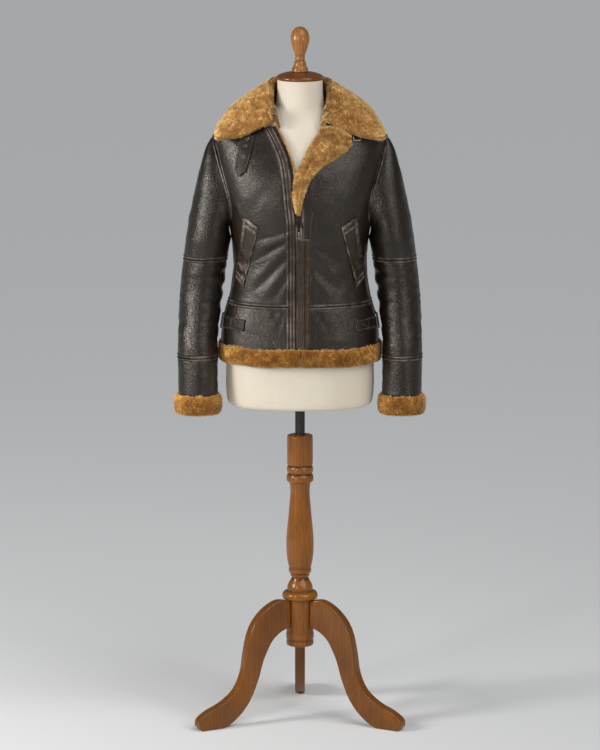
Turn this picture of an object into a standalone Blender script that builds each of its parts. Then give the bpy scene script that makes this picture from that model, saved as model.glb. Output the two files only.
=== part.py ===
"""Shearling bomber jacket on a limbless dress form, with a turned wooden column on three legs.

Metres, Z up, the front faces -Y. The jacket and the form are drawn round the column's axis
(x = 0, y = 0), and the last step moves the whole so that its box is centred on the origin.
"Left" and "right" are the wearer's: the right sleeve is at -X.
"""

import math

import bmesh
import bpy
import numpy as np
from mathutils import Matrix, Vector

# ---------------------------------------------------------------- driving dimensions

HIDE = 0.004            # leather with its short inner wool
SEAM = 0.0003           # gap between neighbouring pieces
REST = 0.0009           # gap under a piece laid on a panel, whose flat facets it must clear
TRIM = 0.0025           # straps and plackets laid on a panel
ARM_STEPS = 18          # points round an armhole and a sleeve
POWER = 2.3             # roundness of the horizontal torso sections

HEM_Z = 0.9043          # lower edge of the leather
WAIST_Z = 1.003         # waist seam
ARMPIT_Z = 1.180
SHOULDER_Z = 1.393
NECK_Z = 1.450
NECK_DROP = 0.032       # how much lower the neckline is at the front opening
NECK_CURVE = 1.5        # power of the neckline's dip towards that opening

# Rows of points up the panels: below the waist seam, up to the armpit, and shares of the shoulder slope.
WAIST_ROWS = np.array((HEM_Z, 0.928, 0.952, 0.978, WAIST_Z))
CHEST_ROWS = np.array((WAIST_Z, 1.030, 1.060, 1.090, 1.120, 1.150))
SLOPE_SHARES = np.array((0.30, 0.62, 1.0))
FORM_LOW_ROWS = np.array((0.860, HEM_Z, 0.952))

# Horizontal sections of the jacket's outer leather surface.
TORSO = np.array([
    # height  half_width  front   back
    (0.860,   0.1830,     0.1300, 0.1330),
    (0.904,   0.1830,     0.1280, 0.1310),
    (0.950,   0.1790,     0.1230, 0.1260),
    (0.985,   0.1720,     0.1185, 0.1215),
    (1.003,   0.1662,     0.1160, 0.1185),
    (1.030,   0.1600,     0.1140, 0.1140),
    (1.090,   0.1538,     0.1140, 0.1080),
    (1.130,   0.1560,     0.1210, 0.1100),
    (1.180,   0.1630,     0.1320, 0.1150),
    (1.240,   0.1730,     0.1370, 0.1200),
    (1.300,   0.1850,     0.1270, 0.1220),
    (1.350,   0.1940,     0.1060, 0.1150),
    (1.393,   0.1985,     0.0840, 0.0960),
    (1.410,   0.1600,     0.0770, 0.0880),
    (1.425,   0.1240,     0.0720, 0.0800),
    (1.440,   0.0920,     0.0670, 0.0710),
    (1.456,   0.0740,     0.0620, 0.0650),
])

# Largest folds of the body, as soft troughs from one end to the other.
BODY_FOLDS = np.array([
    # face(-1 front)  x0      z0     x1      z1     width  depth
    (-1,             -0.030,  1.150, -0.100, 1.060, 0.010, 0.0022),
    (-1,             -0.034,  1.105, -0.110, 1.030, 0.009, 0.0018),
    (-1,              0.036,  1.135,  0.105, 1.050, 0.010, 0.0020),
    (-1,              0.120,  1.215,  0.070, 1.270, 0.011, 0.0016),
    (-1,             -0.118,  1.225, -0.070, 1.285, 0.011, 0.0016),
    (1,              -0.020,  1.110, -0.110, 1.060, 0.011, 0.0022),
    (1,               0.020,  1.085,  0.105, 1.045, 0.010, 0.0020),
    (1,              -0.110,  1.230, -0.050, 1.300, 0.012, 0.0018),
    (1,               0.110,  1.230,  0.050, 1.300, 0.012, 0.0018),
])

# Front edges: x of the right front's zip edge, of the left front's fold, and of the right strip's seam.
FRONT_EDGES = np.array([
    # height  zip_edge  fold     strip_seam
    (0.860,  -0.0100,   0.0040, -0.0245),
    (1.190,  -0.0100,   0.0040, -0.0250),
    (1.228,  -0.0130,   0.0030, -0.0285),
    (1.283,  -0.0178,  -0.0060, -0.0335),
    (1.320,  -0.0220,   0.0040, -0.0380),
    (1.345,  -0.0275,   0.0145, -0.0435),
    (1.370,  -0.0370,   0.0250, -0.0530),
    (1.400,  -0.0525,   0.0400, -0.0690),
    (1.430,  -0.0700,   0.0550, -0.0880),
])

ZIP_EDGE, FOLD, STRIP_SEAM = 1, 2, 3

# Lapel turned out on the left front: fold and outer edge from the tip to the notch, and how far
# each row swells upwards between them.
LAPEL = np.array([
    # along  fold_x   fold_z  edge_x   edge_z  swell
    (0.00,  -0.0080,  1.226, -0.0010,  1.222,  0.000),
    (0.18,  -0.0160,  1.262,  0.0060,  1.258,  0.000),
    (0.40,  -0.0115,  1.305,  0.0215,  1.298,  0.000),
    (0.60,   0.0060,  1.343,  0.0480,  1.327,  0.001),
    (0.80,   0.0270,  1.382,  0.0960,  1.356,  0.003),
    (0.92,   0.0415,  1.401,  0.1180,  1.377,  0.006),
    (1.00,   0.0480,  1.411,  0.1165,  1.390,  0.008),
])

# Collar: where it rolls over and where its leaf ends, from a front end to the middle of the back.
COLLAR = np.array([
    # along  roll_x  roll_y   roll_z  edge_x  edge_y   edge_z  belly
    (0.00,   0.0560, -0.0820, 1.438,  0.1890, -0.0850, 1.398, -0.012),
    (0.14,   0.0640, -0.0600, 1.464,  0.2000, -0.0560, 1.400,  0.008),
    (0.30,   0.0700, -0.0280, 1.496,  0.1985, -0.0200, 1.406,  0.015),
    (0.45,   0.0715,  0.0080, 1.514,  0.1930,  0.0200, 1.407,  0.016),
    (0.62,   0.0620,  0.0400, 1.521,  0.1620,  0.0780, 1.400,  0.014),
    (0.80,   0.0370,  0.0610, 1.524,  0.0950,  0.1160, 1.388,  0.012),
    (1.00,   0.0000,  0.0680, 1.525,  0.0000,  0.1270, 1.382,  0.011),
])
COLLAR_T = 0.0115       # leather and fur of the collar
COLLAR_STATIONS = 21
COLLAR_ROLL = 0.013     # radius of the rolled top
LEAF_SHARES = (1.0, 0.86, 0.60, 0.30)       # rows of points down the collar's leaf, from its edge
NECK_FRONT = 0.45       # share of the neckline that lies on the front
NECK_LIFT = 0.0020      # how far the collar's foot stands above the neckline
FOOT_SHARE = 0.6        # share of the collar's thickness by which its foot lies inside the neckline
LEAF_SWELL = 1.25       # power that puts the leaf's belly nearer its edge

# Armhole, an upright loop drawn on the torso.
ARMHOLE_FRONT = 0.050    # reach ahead of the arm's middle line
ARMHOLE_BACK = 0.062
ARMHOLE_HOLLOW = 0.030   # how much less of that reach there is at the top of the arm, more below

# Sleeve head: highest and lowest point of each ring as it turns from the armhole to level.
SLEEVE_HEAD = np.array([
    # top_x   top_z   low_x   low_z   half_depth
    (0.1985,  1.3930, 0.1630, 1.1800, 0.0600),
    (0.2155,  1.3650, 0.1638, 1.1765, 0.0625),
    (0.2310,  1.3200, 0.1634, 1.1730, 0.0650),
    (0.2430,  1.2660, 0.1626, 1.1680, 0.0665),
    (0.2560,  1.2050, 0.1615, 1.1610, 0.0670),
    (0.2660,  1.1500, 0.1602, 1.1500, 0.0665),
])

# Level sections of the sleeve below its head.
SLEEVE = np.array([
    # height  centre_x  centre_y  half_width  half_depth
    (0.789,   0.2371,   -0.0450,  0.0463,     0.0520),
    (0.858,   0.2380,   -0.0370,  0.0466,     0.0540),
    (0.904,   0.2375,   -0.0300,  0.0468,     0.0555),
    (0.945,   0.2362,   -0.0180,  0.0475,     0.0570),
    (0.986,   0.2333,   -0.0050,  0.0490,     0.0590),
    (1.043,   0.2270,    0.0050,  0.0507,     0.0615),
    (1.100,   0.2203,    0.0055,  0.0512,     0.0640),
    (1.150,   0.2131,    0.0000,  0.0529,     0.0665),
])
SLEEVE_RINGS = (1.127, 1.103, 1.080, 1.056, 1.032, 1.008, 0.984, 0.960, 0.932, 0.904, 0.877,
                0.848, 0.818, 0.789)
ELBOW_Z = 1.103
LOWER_Z = 0.877
CUFF_Z = 0.789

# Largest folds of a sleeve: a trough across the inside (-90) or outside (90) of the bend.
SLEEVE_FOLDS = np.array([
    # height  towards(deg)  spread(deg)  tilt     width  depth
    (1.128,   200,          60,          0.010,   0.010, 0.0025),
    (1.068,   -60,          70,         -0.008,   0.009, 0.0030),
    (1.032,   -90,          80,          0.006,   0.010, 0.0035),
    (0.996,   -70,          70,          0.010,   0.010, 0.0030),
    (0.958,    60,          60,         -0.010,   0.011, 0.0022),
    (0.918,   -80,          80,          0.008,   0.011, 0.0026),
    (0.890,   150,          70,         -0.006,   0.009, 0.0018),
])

# Fur bands in section: how far out of the leather's line, and how far up from its edge.
CUFF_SECTION = ((-0.0100, -0.0030), (-0.0045, -0.0006), (0.0014, -0.0006), (0.0035, 0.0008),
                (0.0075, -0.0035), (0.0115, -0.0130), (0.0120, -0.0330), (0.0075, -0.0470),
                (-0.0010, -0.0500), (-0.0090, -0.0450))
HEM_SECTION = ((-0.0060, -0.0040), (-0.0045, -0.0006), (0.0018, -0.0006), (0.0045, 0.0025),
               (0.0090, 0.0010), (0.0120, -0.0095), (0.0120, -0.0290), (0.0085, -0.0400),
               (0.0005, -0.0440), (-0.0055, -0.0400))
HEM_PRESSED = 0.42      # share of the fur's reach lost where the sleeves press it
HEM_STATIONS = 39
HEM_SPLIT = 0.0015      # half the opening at the middle of the front

# Placket over the closed zip, and the pocket welts' corners (top inner, top outer, low inner, low outer).
PLACKET_X = (-0.0075, 0.0070, 0.0210)
PLACKET_ROWS = (HEM_Z + 0.0040, 0.950, WAIST_Z, 1.050, 1.100, 1.140, 1.165)
PLACKET_LIFT = 0.0004
WELT_CORNERS = ((0.0950, 1.190), (0.1290, 1.212), (0.1295, 1.044), (0.1470, 1.062))
WELT_THICK = 0.0030
LAPEL_LIFT = 0.0003
LAPEL_EDGE_T = 0.0045
LAPEL_RISE = 0.0050
LAPEL_ROWS, LAPEL_COLS = 9, 5
ZIP_SINK = 0.0008       # the zip's tape lies this far below the leather's surface
ZIP_T = 0.0025
OPEN_ZIP_WIDTH = 0.0065

# Side straps, their buckles, and the throat strap under the collar.
STRAP_Z = 0.957
STRAP_HEIGHT = 0.027
STRAP_FRONT_X = 0.128
STRAP_STATIONS = 12
STRAP_BACK_TURN = math.radians(50)
BUCKLE_TURN = math.radians(9)
BUCKLE_LIFT = 0.0017
BUCKLE_SIZE = (0.020, 0.036, 0.0030)         # width, height, bar
BUCKLE_CORNER = 0.004
THROAT_TOP = (-0.1185, 1.399)
THROAT_TIP = (-0.1398, 1.3045)
THROAT_HALF = 0.0148
THROAT_LIFT = 0.0004     # lets its flat stretches clear the rounded front
THROAT_SHARES = (0.0, 0.2, 0.4, 0.6, 0.84, 1.0)
THROAT_TAPER = (1.0, 1.0, 1.0, 0.95, 0.78, 0.12)
EYELETS = (0.10, 0.29, 0.53)
EYELET_SECTION = ((0.0017, 0.0), (0.0042, 0.0), (0.0038, 0.0009), (0.0021, 0.0009))
THROAT_BUCKLE_AT = (0.1297, 1.392)
THROAT_BUCKLE_SIZE = (0.0190, 0.017, 0.0022)

# The dress form: how far its skin lies behind the jacket's outer surface.
FORM_BEHIND = np.array([
    # height  behind
    (0.860,   0.0110),
    (0.904,   0.0110),
    (1.003,   0.0100),
    (1.090,   0.0120),
    (1.180,   0.0100),
    (1.240,   0.0080),
    (1.300,   0.0065),
    (1.350,   0.0066),
    (1.385,   0.0076),
    (1.410,   0.0062),
    (1.435,   0.0066),
    (1.456,   0.0062),
])
FORM_HIP = np.array([
    # height  half_width  front   back
    (0.7570,  0.1600,     0.1040, 0.1070),
    (0.7605,  0.1665,     0.1085, 0.1120),
    (0.7710,  0.1705,     0.1110, 0.1150),
    (0.8100,  0.1730,     0.1140, 0.1180),
])
FORM_NECK = np.array([
    # height  radius
    (1.456,   0.0575),
    (1.474,   0.0545),
    (1.490,   0.0527),
    (1.518,   0.0522),
])
FORM_STEPS = 36

BEND_FROM = 0.15        # cosine between two walls above which their common edge is mitred
MITRE_LEAST = 0.7       # keeps a mitre on a sharp bend from running long

COLUMN_TOP_Z = 0.6815
HUB_R = 0.0320          # the column where the legs are fixed
LEG_SEAT = HUB_R + SEAM
POLE_R = 0.0115
BORE_R = 0.0119
POLE_FOOT_Z = 0.400
POLE_TOP_Z = 0.850
BORE_FOOT_Z = 0.330
ROUND_STEPS = 24

CAP_PROFILE = ((0.000, 1.5183), (0.0520, 1.5183), (0.0545, 1.5215), (0.0540, 1.5265), (0.0430, 1.5315),
               (0.028, 1.5355), (0.000, 1.5355))
FINIAL_PROFILE = ((0.0000, 1.5358), (0.0190, 1.5358), (0.0192, 1.5400), (0.0182, 1.5455), (0.0146, 1.5500),
                  (0.0146, 1.5580), (0.0105, 1.5625), (0.0118, 1.5645), (0.0118, 1.5675), (0.0110, 1.5716),
                  (0.0135, 1.5800), (0.0185, 1.5950), (0.0222, 1.6090), (0.0222, 1.6140), (0.0205, 1.6250),
                  (0.0150, 1.6340), (0.0070, 1.6395), (0.0000, 1.6405))
COLUMN_PROFILE = ((0.0000, 0.1720), (0.0235, 0.1720), (0.0324, 0.1770), (0.0324, 0.1866), (0.0310, 0.1890),
                  (0.0330, 0.1910), (0.0330, 0.2045), (HUB_R, 0.2085), (HUB_R, 0.2870), (0.0405, 0.2880),
                  (0.0423, 0.2935), (0.0410, 0.3010), (0.0364, 0.3057), (0.0287, 0.3070), (0.0306, 0.3130),
                  (0.0282, 0.3226), (0.0235, 0.3300), (0.0195, 0.3390), (0.0228, 0.3425), (0.0228, 0.3450),
                  (0.0215, 0.3480), (0.0262, 0.3515), (0.0268, 0.3560), (0.0258, 0.3610), (0.0270, 0.3660),
                  (0.0300, 0.3780), (0.0323, 0.4025), (0.0326, 0.4270), (0.0311, 0.4510), (0.0272, 0.4870),
                  (0.0253, 0.5110), (0.0226, 0.5470), (0.0254, 0.5660), (0.0280, 0.5690), (0.0318, 0.5725),
                  (0.0320, 0.5800), (0.0302, 0.5860), (0.0282, 0.5890), (0.0305, 0.5930), (0.0312, 0.6000),
                  (0.0300, 0.6060), (0.0277, 0.6080), (0.0303, 0.6105), (0.0303, 0.6740),
                  (0.0285, COLUMN_TOP_Z), (BORE_R, COLUMN_TOP_Z), (BORE_R, BORE_FOOT_Z),
                  (0.0000, BORE_FOOT_Z))

LEG_TOP = ((LEG_SEAT, 0.2850), (0.0600, 0.2890), (0.0850, 0.2800), (0.1080, 0.2640), (0.1290, 0.2400),
           (0.1430, 0.2080), (0.1520, 0.1650), (0.1590, 0.1240), (0.1790, 0.0850), (0.2150, 0.0590),
           (0.2520, 0.0440), (0.2760, 0.0280), (0.2790, 0.0120))
LEG_UNDERSIDE = ((0.2700, 0.0000), (0.2120, 0.0000), (0.1720, 0.0230), (0.1410, 0.0580), (0.1200, 0.1030),
                 (0.1040, 0.1530), (0.0830, 0.1925), (0.0570, 0.2140), (LEG_SEAT, 0.2230))
LEG_THICK = 0.024
LEG_BEVEL = 0.004
LEG_HEADINGS = {"leg_right": -150.0, "leg_left": -30.0, "leg_back": 90.0}

# Zip slider, its two lugs, and the tab hinged between them.
ZIP_X = FRONT_EDGES[0, (ZIP_EDGE, FOLD)].mean()
SLIDER_Z = 1.197
SLIDER_HEIGHT = 0.013
SLIDER_HALF = 0.0048
SLIDER_BODY = 0.0055
LUG_REACH = 0.0088
LUG_INSIDE = 0.0030
PLAY = 0.0001
HINGE_RISE = 0.0035
PULL_LENGTH = 0.030
PULL_KNUCKLE_R = 0.0014
PULL_NECK_HALF = 0.0026
PULL_NECK_END = -0.0120
PULL_HALF = 0.0042
PULL_THICK = 0.0016
PULL_SHOULDER = 0.0015
PULL_EASE = 0.0020

COLOURS = {
    # name            colour (linear)          roughness  metallic
    "leather":       ((0.047, 0.034, 0.026), 0.42, 0.0),
    "fur":           ((0.300, 0.130, 0.026), 0.90, 0.0),
    "canvas":        ((0.740, 0.680, 0.540), 0.80, 0.0),
    "wood":          ((0.260, 0.085, 0.015), 0.38, 0.0),
    "dark_steel":    ((0.018, 0.017, 0.012), 0.40, 0.9),
    "antique_metal": ((0.300, 0.270, 0.210), 0.35, 1.0),
}


# ---------------------------------------------------------------- scene and materials

def clear_scene():
    for ob in list(bpy.data.objects):
        bpy.data.objects.remove(ob, do_unlink=True)


def make_materials():
    made = {}
    for name, (colour, roughness, metallic) in COLOURS.items():
        mat = bpy.data.materials.new(name)
        mat.use_nodes = True
        shader = mat.node_tree.nodes["Principled BSDF"]
        shader.inputs["Base Color"].default_value = (*colour, 1.0)
        shader.inputs["Roughness"].default_value = roughness
        shader.inputs["Metallic"].default_value = metallic
        made[name] = mat
    return made


def make_empty(name, location, parent=None):
    ob = bpy.data.objects.new(name, None)
    bpy.context.collection.objects.link(ob)
    ob.parent = parent
    ob.location = Vector(location) - (world_place(parent) if parent else Vector())
    return ob


def world_place(ob):
    place = Vector()
    while ob is not None:
        place += ob.location
        ob = ob.parent
    return place


def finish(bm, name, material, parent, smooth_angle=40.0):
    """Turn a bmesh drawn in world coordinates into an object under its parent."""
    bmesh.ops.recalc_face_normals(bm, faces=bm.faces)
    bmesh.ops.translate(bm, vec=-world_place(parent), verts=bm.verts)
    mesh = bpy.data.meshes.new(name)
    bm.to_mesh(mesh)
    bm.free()
    mesh.shade_smooth()
    mesh.set_sharp_from_angle(angle=math.radians(smooth_angle))
    mesh.materials.append(material)
    ob = bpy.data.objects.new(name, mesh)
    bpy.context.collection.objects.link(ob)
    ob.parent = parent
    return ob


# ---------------------------------------------------------------- curves and surfaces

def smooth(xs, ys, x):
    """Cubic through the points (xs, ys) that doesn't overshoot; level beyond the ends."""
    xs = np.asarray(xs, float)
    ys = np.asarray(ys, float)
    x = np.clip(np.asarray(x, float), xs[0], xs[-1])
    step = np.diff(xs)
    slope = np.diff(ys) / step
    same = slope[:-1] * slope[1:] > 0
    total = np.where(same, slope[:-1] + slope[1:], 1.0)
    tangent = np.concatenate((slope[:1], np.where(same, 2 * slope[:-1] * slope[1:] / total, 0.0), slope[-1:]))
    i = np.clip(np.searchsorted(xs, x, side="right") - 1, 0, len(step) - 1)
    t = (x - xs[i]) / step[i]
    t2, t3 = t * t, t * t * t
    return ((2 * t3 - 3 * t2 + 1) * ys[i] + (t3 - 2 * t2 + t) * step[i] * tangent[i]
            + (3 * t2 - 2 * t3) * ys[i + 1] + (t3 - t2) * step[i] * tangent[i + 1])


def column_of(table, column, at):
    return smooth(table[:, 0], table[:, column], at)


def unit(v):
    return v / np.maximum(np.linalg.norm(v, axis=-1, keepdims=True), 1e-9)


def trough(x, z, row):
    """Depth of one fold at (x, z), with a round cross-section and round ends."""
    _, x0, z0, x1, z1, width, depth = row
    along = np.array((x1 - x0, z1 - z0))
    t = np.clip(((x - x0) * along[0] + (z - z0) * along[1]) / along.dot(along), 0, 1)
    away = np.hypot(x - x0 - t * along[0], z - z0 - t * along[1])
    return depth * np.exp(-(away / width) ** 2)


def section(phi, half_width, front, back):
    depth = np.where(np.sin(phi) < 0, front, back)
    across, along = np.abs(np.cos(phi) / half_width), np.abs(np.sin(phi) / depth)
    reach = (across ** POWER + along ** POWER) ** (-1 / POWER)
    return reach * np.cos(phi), reach * np.sin(phi)


def torso_skin(phi, z):
    phi, z = np.broadcast_arrays(np.asarray(phi, float), np.asarray(z, float))
    x, y = section(phi, *(column_of(TORSO, c, z) for c in (1, 2, 3)))
    for row in BODY_FOLDS:
        face = row[0]
        y = y - face * np.where(y * face > 0, trough(x, z, row), 0.0)
    return np.stack((x, y, z), axis=-1)


def torso_normal(phi, z):
    turn, rise = 0.01, 0.001
    around = torso_skin(np.asarray(phi) + turn, z) - torso_skin(np.asarray(phi) - turn, z)
    up = torso_skin(phi, np.asarray(z) + rise) - torso_skin(phi, np.asarray(z) - rise)
    return unit(np.cross(around, up))


def front_phi(x, z):
    """Angle of the point of the front with this x and z."""
    half_width = column_of(TORSO, 1, z)
    front = column_of(TORSO, 2, z)
    inside = np.maximum(1 - np.abs(np.asarray(x) / half_width) ** POWER, 0)
    return np.arctan2(-front * inside ** (1 / POWER), x)


def on_front(x, z, out=0.0):
    phi = front_phi(x, z)
    normal = torso_normal(phi, z)
    return torso_skin(phi, z) + np.asarray(out)[..., None] * normal, normal


# ---------------------------------------------------------------- walls, sweeps and turned pieces

def edge_shift(edge, inner, closed):
    """Unit steps from an edge's points towards the next row, square to the edge."""
    if closed:
        tangent = np.roll(edge, -1, 0) - np.roll(edge, 1, 0)
    else:
        tangent = np.gradient(edge, axis=0)
    tangent = unit(tangent)
    step = inner - edge
    return unit(step - (step * tangent).sum(-1, keepdims=True) * tangent)


def trimmed(grid, closed):
    """Move the free edges of a grid inwards by half a seam."""
    out = grid.copy()
    out[0] += edge_shift(grid[0], grid[1], closed) * SEAM / 2
    out[-1] += edge_shift(grid[-1], grid[-2], closed) * SEAM / 2
    if not closed:
        out[:, 0] += edge_shift(grid[:, 0], grid[:, 1], False) * SEAM / 2
        out[:, -1] += edge_shift(grid[:, -1], grid[:, -2], False) * SEAM / 2
    return out


def wall(name, outer, normal, thickness, material, parent, closed=False, trim=True):
    """Closed solid between a grid of points and the same grid moved in by its thickness."""
    inner = outer - normal * (np.zeros(outer.shape[:2]) + thickness)[..., None]
    if trim:
        outer, inner = trimmed(outer, closed), trimmed(inner, closed)
    rows, cols = outer.shape[:2]
    bm = bmesh.new()
    skins = [[[bm.verts.new(p) for p in row] for row in grid] for grid in (outer, inner)]
    spans = [(c, (c + 1) % cols) for c in range(cols if closed else cols - 1)]
    for side, grid in enumerate(skins):
        for r in range(rows - 1):
            for c, d in spans:
                loop = (grid[r][c], grid[r][d], grid[r + 1][d], grid[r + 1][c])
                bm.faces.new(loop if side == 0 else loop[::-1])
    for r in (0, rows - 1):
        for c, d in spans:
            bm.faces.new((skins[0][r][c], skins[0][r][d], skins[1][r][d], skins[1][r][c]))
    if not closed:
        for c in (0, cols - 1):
            for r in range(rows - 1):
                bm.faces.new((skins[0][r][c], skins[0][r + 1][c], skins[1][r + 1][c], skins[1][r][c]))
    return finish(bm, name, material, parent)


def sweep(name, sections, material, parent, closed=False, smooth_angle=50.0):
    """Closed solid through a row of sections with equal numbers of points."""
    bm = bmesh.new()
    rings = [[bm.verts.new(p) for p in s] for s in sections]
    pairs = list(zip(rings, rings[1:] + rings[:1])) if closed else list(zip(rings, rings[1:]))
    for a, b in pairs:
        for k in range(len(a)):
            j = (k + 1) % len(a)
            bm.faces.new((a[k], a[j], b[j], b[k]))
    if not closed:
        bm.faces.new(rings[0][::-1])
        bm.faces.new(rings[-1])
    return finish(bm, name, material, parent, smooth_angle)


def lathe(name, profile, material, parent, steps=ROUND_STEPS, frame=Matrix()):
    """Turn (radius, height) points about Z; a profile with no point on the axis is a ring."""
    bm = bmesh.new()
    rings = []
    for radius, z in profile:
        count = 1 if radius == 0 else steps
        rings.append([bm.verts.new(frame @ Vector((radius * math.cos(math.tau * k / steps),
                                                   radius * math.sin(math.tau * k / steps), z)))
                      for k in range(count)])
    if profile[0][0] and profile[-1][0]:
        rings.append(rings[0])
    for a, b in zip(rings, rings[1:]):
        for k in range(steps):
            j = (k + 1) % steps
            loop = [a[k % len(a)], a[j % len(a)], b[j % len(b)], b[k % len(b)]]
            bm.faces.new(list(dict.fromkeys(loop)))
    return finish(bm, name, material, parent)


def prism(name, outline, depth, frame, material, parent, bevel=0.0):
    """Extrude a flat outline (x, y) by its depth along z in its own frame, with eased edges."""
    bm = bmesh.new()
    low = [bm.verts.new(frame @ Vector((x, y, -depth / 2))) for x, y in outline]
    high = [bm.verts.new(frame @ Vector((x, y, depth / 2))) for x, y in outline]
    caps = [bm.faces.new(low[::-1]), bm.faces.new(high)]
    for k in range(len(outline)):
        j = (k + 1) % len(outline)
        bm.faces.new((low[k], low[j], high[j], high[k]))
    if bevel:
        rims = [e for face in caps for e in face.edges]
        bmesh.ops.bevel(bm, geom=rims, offset=bevel, segments=2, affect="EDGES", clamp_overlap=True)
    return finish(bm, name, material, parent)


def frame_at(point, normal):
    """Frame with z along the normal and y as near up as it can be."""
    z = Vector(normal).normalized()
    x = Vector((0, 0, 1)).cross(z).normalized()
    return Matrix.Translation(Vector(point)) @ Matrix((x, z.cross(x), z)).transposed().to_4x4()


# ---------------------------------------------------------------- armholes and sleeves

def armhole_angles():
    return np.radians(-90 + np.arange(ARM_STEPS) * 360 / ARM_STEPS)


def armhole_phi(psi):
    """Torso angles and heights of the left armhole's points."""
    middle = (SHOULDER_Z + ARMPIT_Z) / 2
    z = middle + (SHOULDER_Z - ARMPIT_Z) / 2 * np.sin(psi)
    lean = np.cos(psi)
    y = -np.where(lean > 0, ARMHOLE_FRONT - ARMHOLE_HOLLOW * np.sin(psi), ARMHOLE_BACK) * lean
    depth = np.where(y < 0, column_of(TORSO, 2, z), column_of(TORSO, 3, z))
    x = column_of(TORSO, 1, z) * np.maximum(1 - np.abs(y / depth) ** POWER, 0) ** (1 / POWER)
    return np.arctan2(np.where(np.abs(y) < 1e-9, 0.0, y), x), z


def sleeve_fold_depth(psi, z):
    total = np.zeros(np.broadcast(psi, z).shape)
    for height, towards, spread, tilt, width, depth in SLEEVE_FOLDS:
        away = (np.degrees(psi) - towards + 180) % 360 - 180
        across = np.exp(-(away / spread) ** 2 * 2)
        line = z - height - tilt * away / spread
        total += depth * across * np.exp(-(line / width) ** 2)
    return total


def sleeve_grid():
    """Outer points and normals of the whole left sleeve, ring by ring from the armhole."""
    psi = armhole_angles()
    phi, z = armhole_phi(psi)
    armhole = torso_skin(phi, z)
    rings = []
    first = None
    for step, (top_x, top_z, low_x, low_z, depth) in enumerate(SLEEVE_HEAD):
        lift = np.sin(psi)
        ring = np.stack(((top_x + low_x) / 2 + lift * (top_x - low_x) / 2, -depth * np.cos(psi),
                         (top_z + low_z) / 2 + lift * (top_z - low_z) / 2), axis=-1)
        first = ring if first is None else first
        fade = (1 - step / (len(SLEEVE_HEAD) - 1)) ** 2
        rings.append(ring + (armhole - first) * fade)
    for height in SLEEVE_RINGS:
        cx, cy, half_width, half_depth = (float(column_of(SLEEVE, c, height)) for c in (1, 2, 3, 4))
        dent = sleeve_fold_depth(psi, height)
        rings.append(np.stack((cx + (half_width - dent) * np.sin(psi), cy - (half_depth - dent) * np.cos(psi),
                               np.full_like(psi, height)), axis=-1))
    grid = np.array(rings)
    down = np.gradient(grid, axis=0)
    around = np.roll(grid, -1, 1) - np.roll(grid, 1, 1)
    normal = unit(np.cross(down, around))
    return grid, normal, torso_normal(phi, z)


def mitred(mine, other):
    """Common edge direction of two walls that meet on a convex bend, else the wall's own."""
    both = mine + other
    dot = (mine * other).sum(-1, keepdims=True)
    stretch = 1 / np.maximum(np.sqrt(np.maximum((1 + dot) / 2, 0.0)), MITRE_LEAST)
    return np.where(dot > BEND_FROM, unit(both) * stretch, mine)


def mirrored(grid, side):
    return grid * np.array((side, 1.0, 1.0))


# ---------------------------------------------------------------- jacket panels

def half_armhole(face):
    """Torso angles and heights of the left armhole's front (face -1) or back (face 1) half, upwards."""
    psi = armhole_angles()[:ARM_STEPS // 2 + 1]
    return armhole_phi(psi if face < 0 else -math.pi - psi)


def front_edge_rows():
    """Heights down a front edge: those of the waist panels, then those of the fronts."""
    _, arm = half_armhole(-1)
    above = SHOULDER_Z + (NECK_Z - NECK_DROP - SHOULDER_Z) * SLOPE_SHARES
    return np.concatenate((WAIST_ROWS, CHEST_ROWS[1:], arm, above))


def upper_panel(face, side, inner_edge, cols):
    """Grid and normals of a front (face -1) or half back (face 1), from its side to its inner edge."""
    arm_phi, arm_z = half_armhole(face)
    share = np.linspace(0, 1, cols)
    drop = NECK_DROP * share ** NECK_CURVE if face < 0 else np.zeros(cols)
    level = np.concatenate((CHEST_ROWS, arm_z))[:, None] * np.ones(cols)
    slope = SHOULDER_Z + (NECK_Z - drop - SHOULDER_Z) * SLOPE_SHARES[:, None]
    z = np.concatenate((level, slope))
    start = np.concatenate((np.zeros(len(CHEST_ROWS)), arm_phi, np.zeros(len(SLOPE_SHARES))))
    end = inner_edge(z[:, -1])
    phi = start[:, None] + (end - start)[:, None] * share
    if side < 0:
        phi = math.pi - phi
    grid, normal = torso_skin(phi, z), torso_normal(phi, z)

    _, sleeve_normal, torso_side = sleeve_grid()
    count = len(arm_z)
    ring = np.arange(count) if face < 0 else (ARM_STEPS - np.arange(count)) % ARM_STEPS
    rows = slice(len(CHEST_ROWS), len(CHEST_ROWS) + count)
    normal[rows, 0] = mirrored(mitred(torso_side[ring], sleeve_normal[0][ring]), side)
    return grid, normal


def front_edge(column, side=1):
    """Angle of an edge in a column of FRONT_EDGES, as a function of height; side -1 mirrors it."""
    return lambda z: front_phi(side * column_of(FRONT_EDGES, column, z), z)


def upright(angle):
    """A side seam or the middle of the back, as a function of height."""
    return lambda z: np.full(len(z), angle)


def level_panel(heights, start, end, cols):
    """Grid between two edges given as functions of the height, at level rows."""
    z = np.repeat(np.asarray(heights)[:, None], cols, axis=1)
    a, b = start(z[:, 0]), end(z[:, 0])
    phi = a[:, None] + (b - a)[:, None] * np.linspace(0, 1, cols)[None, :]
    return torso_skin(phi, z), torso_normal(phi, z)


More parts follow.
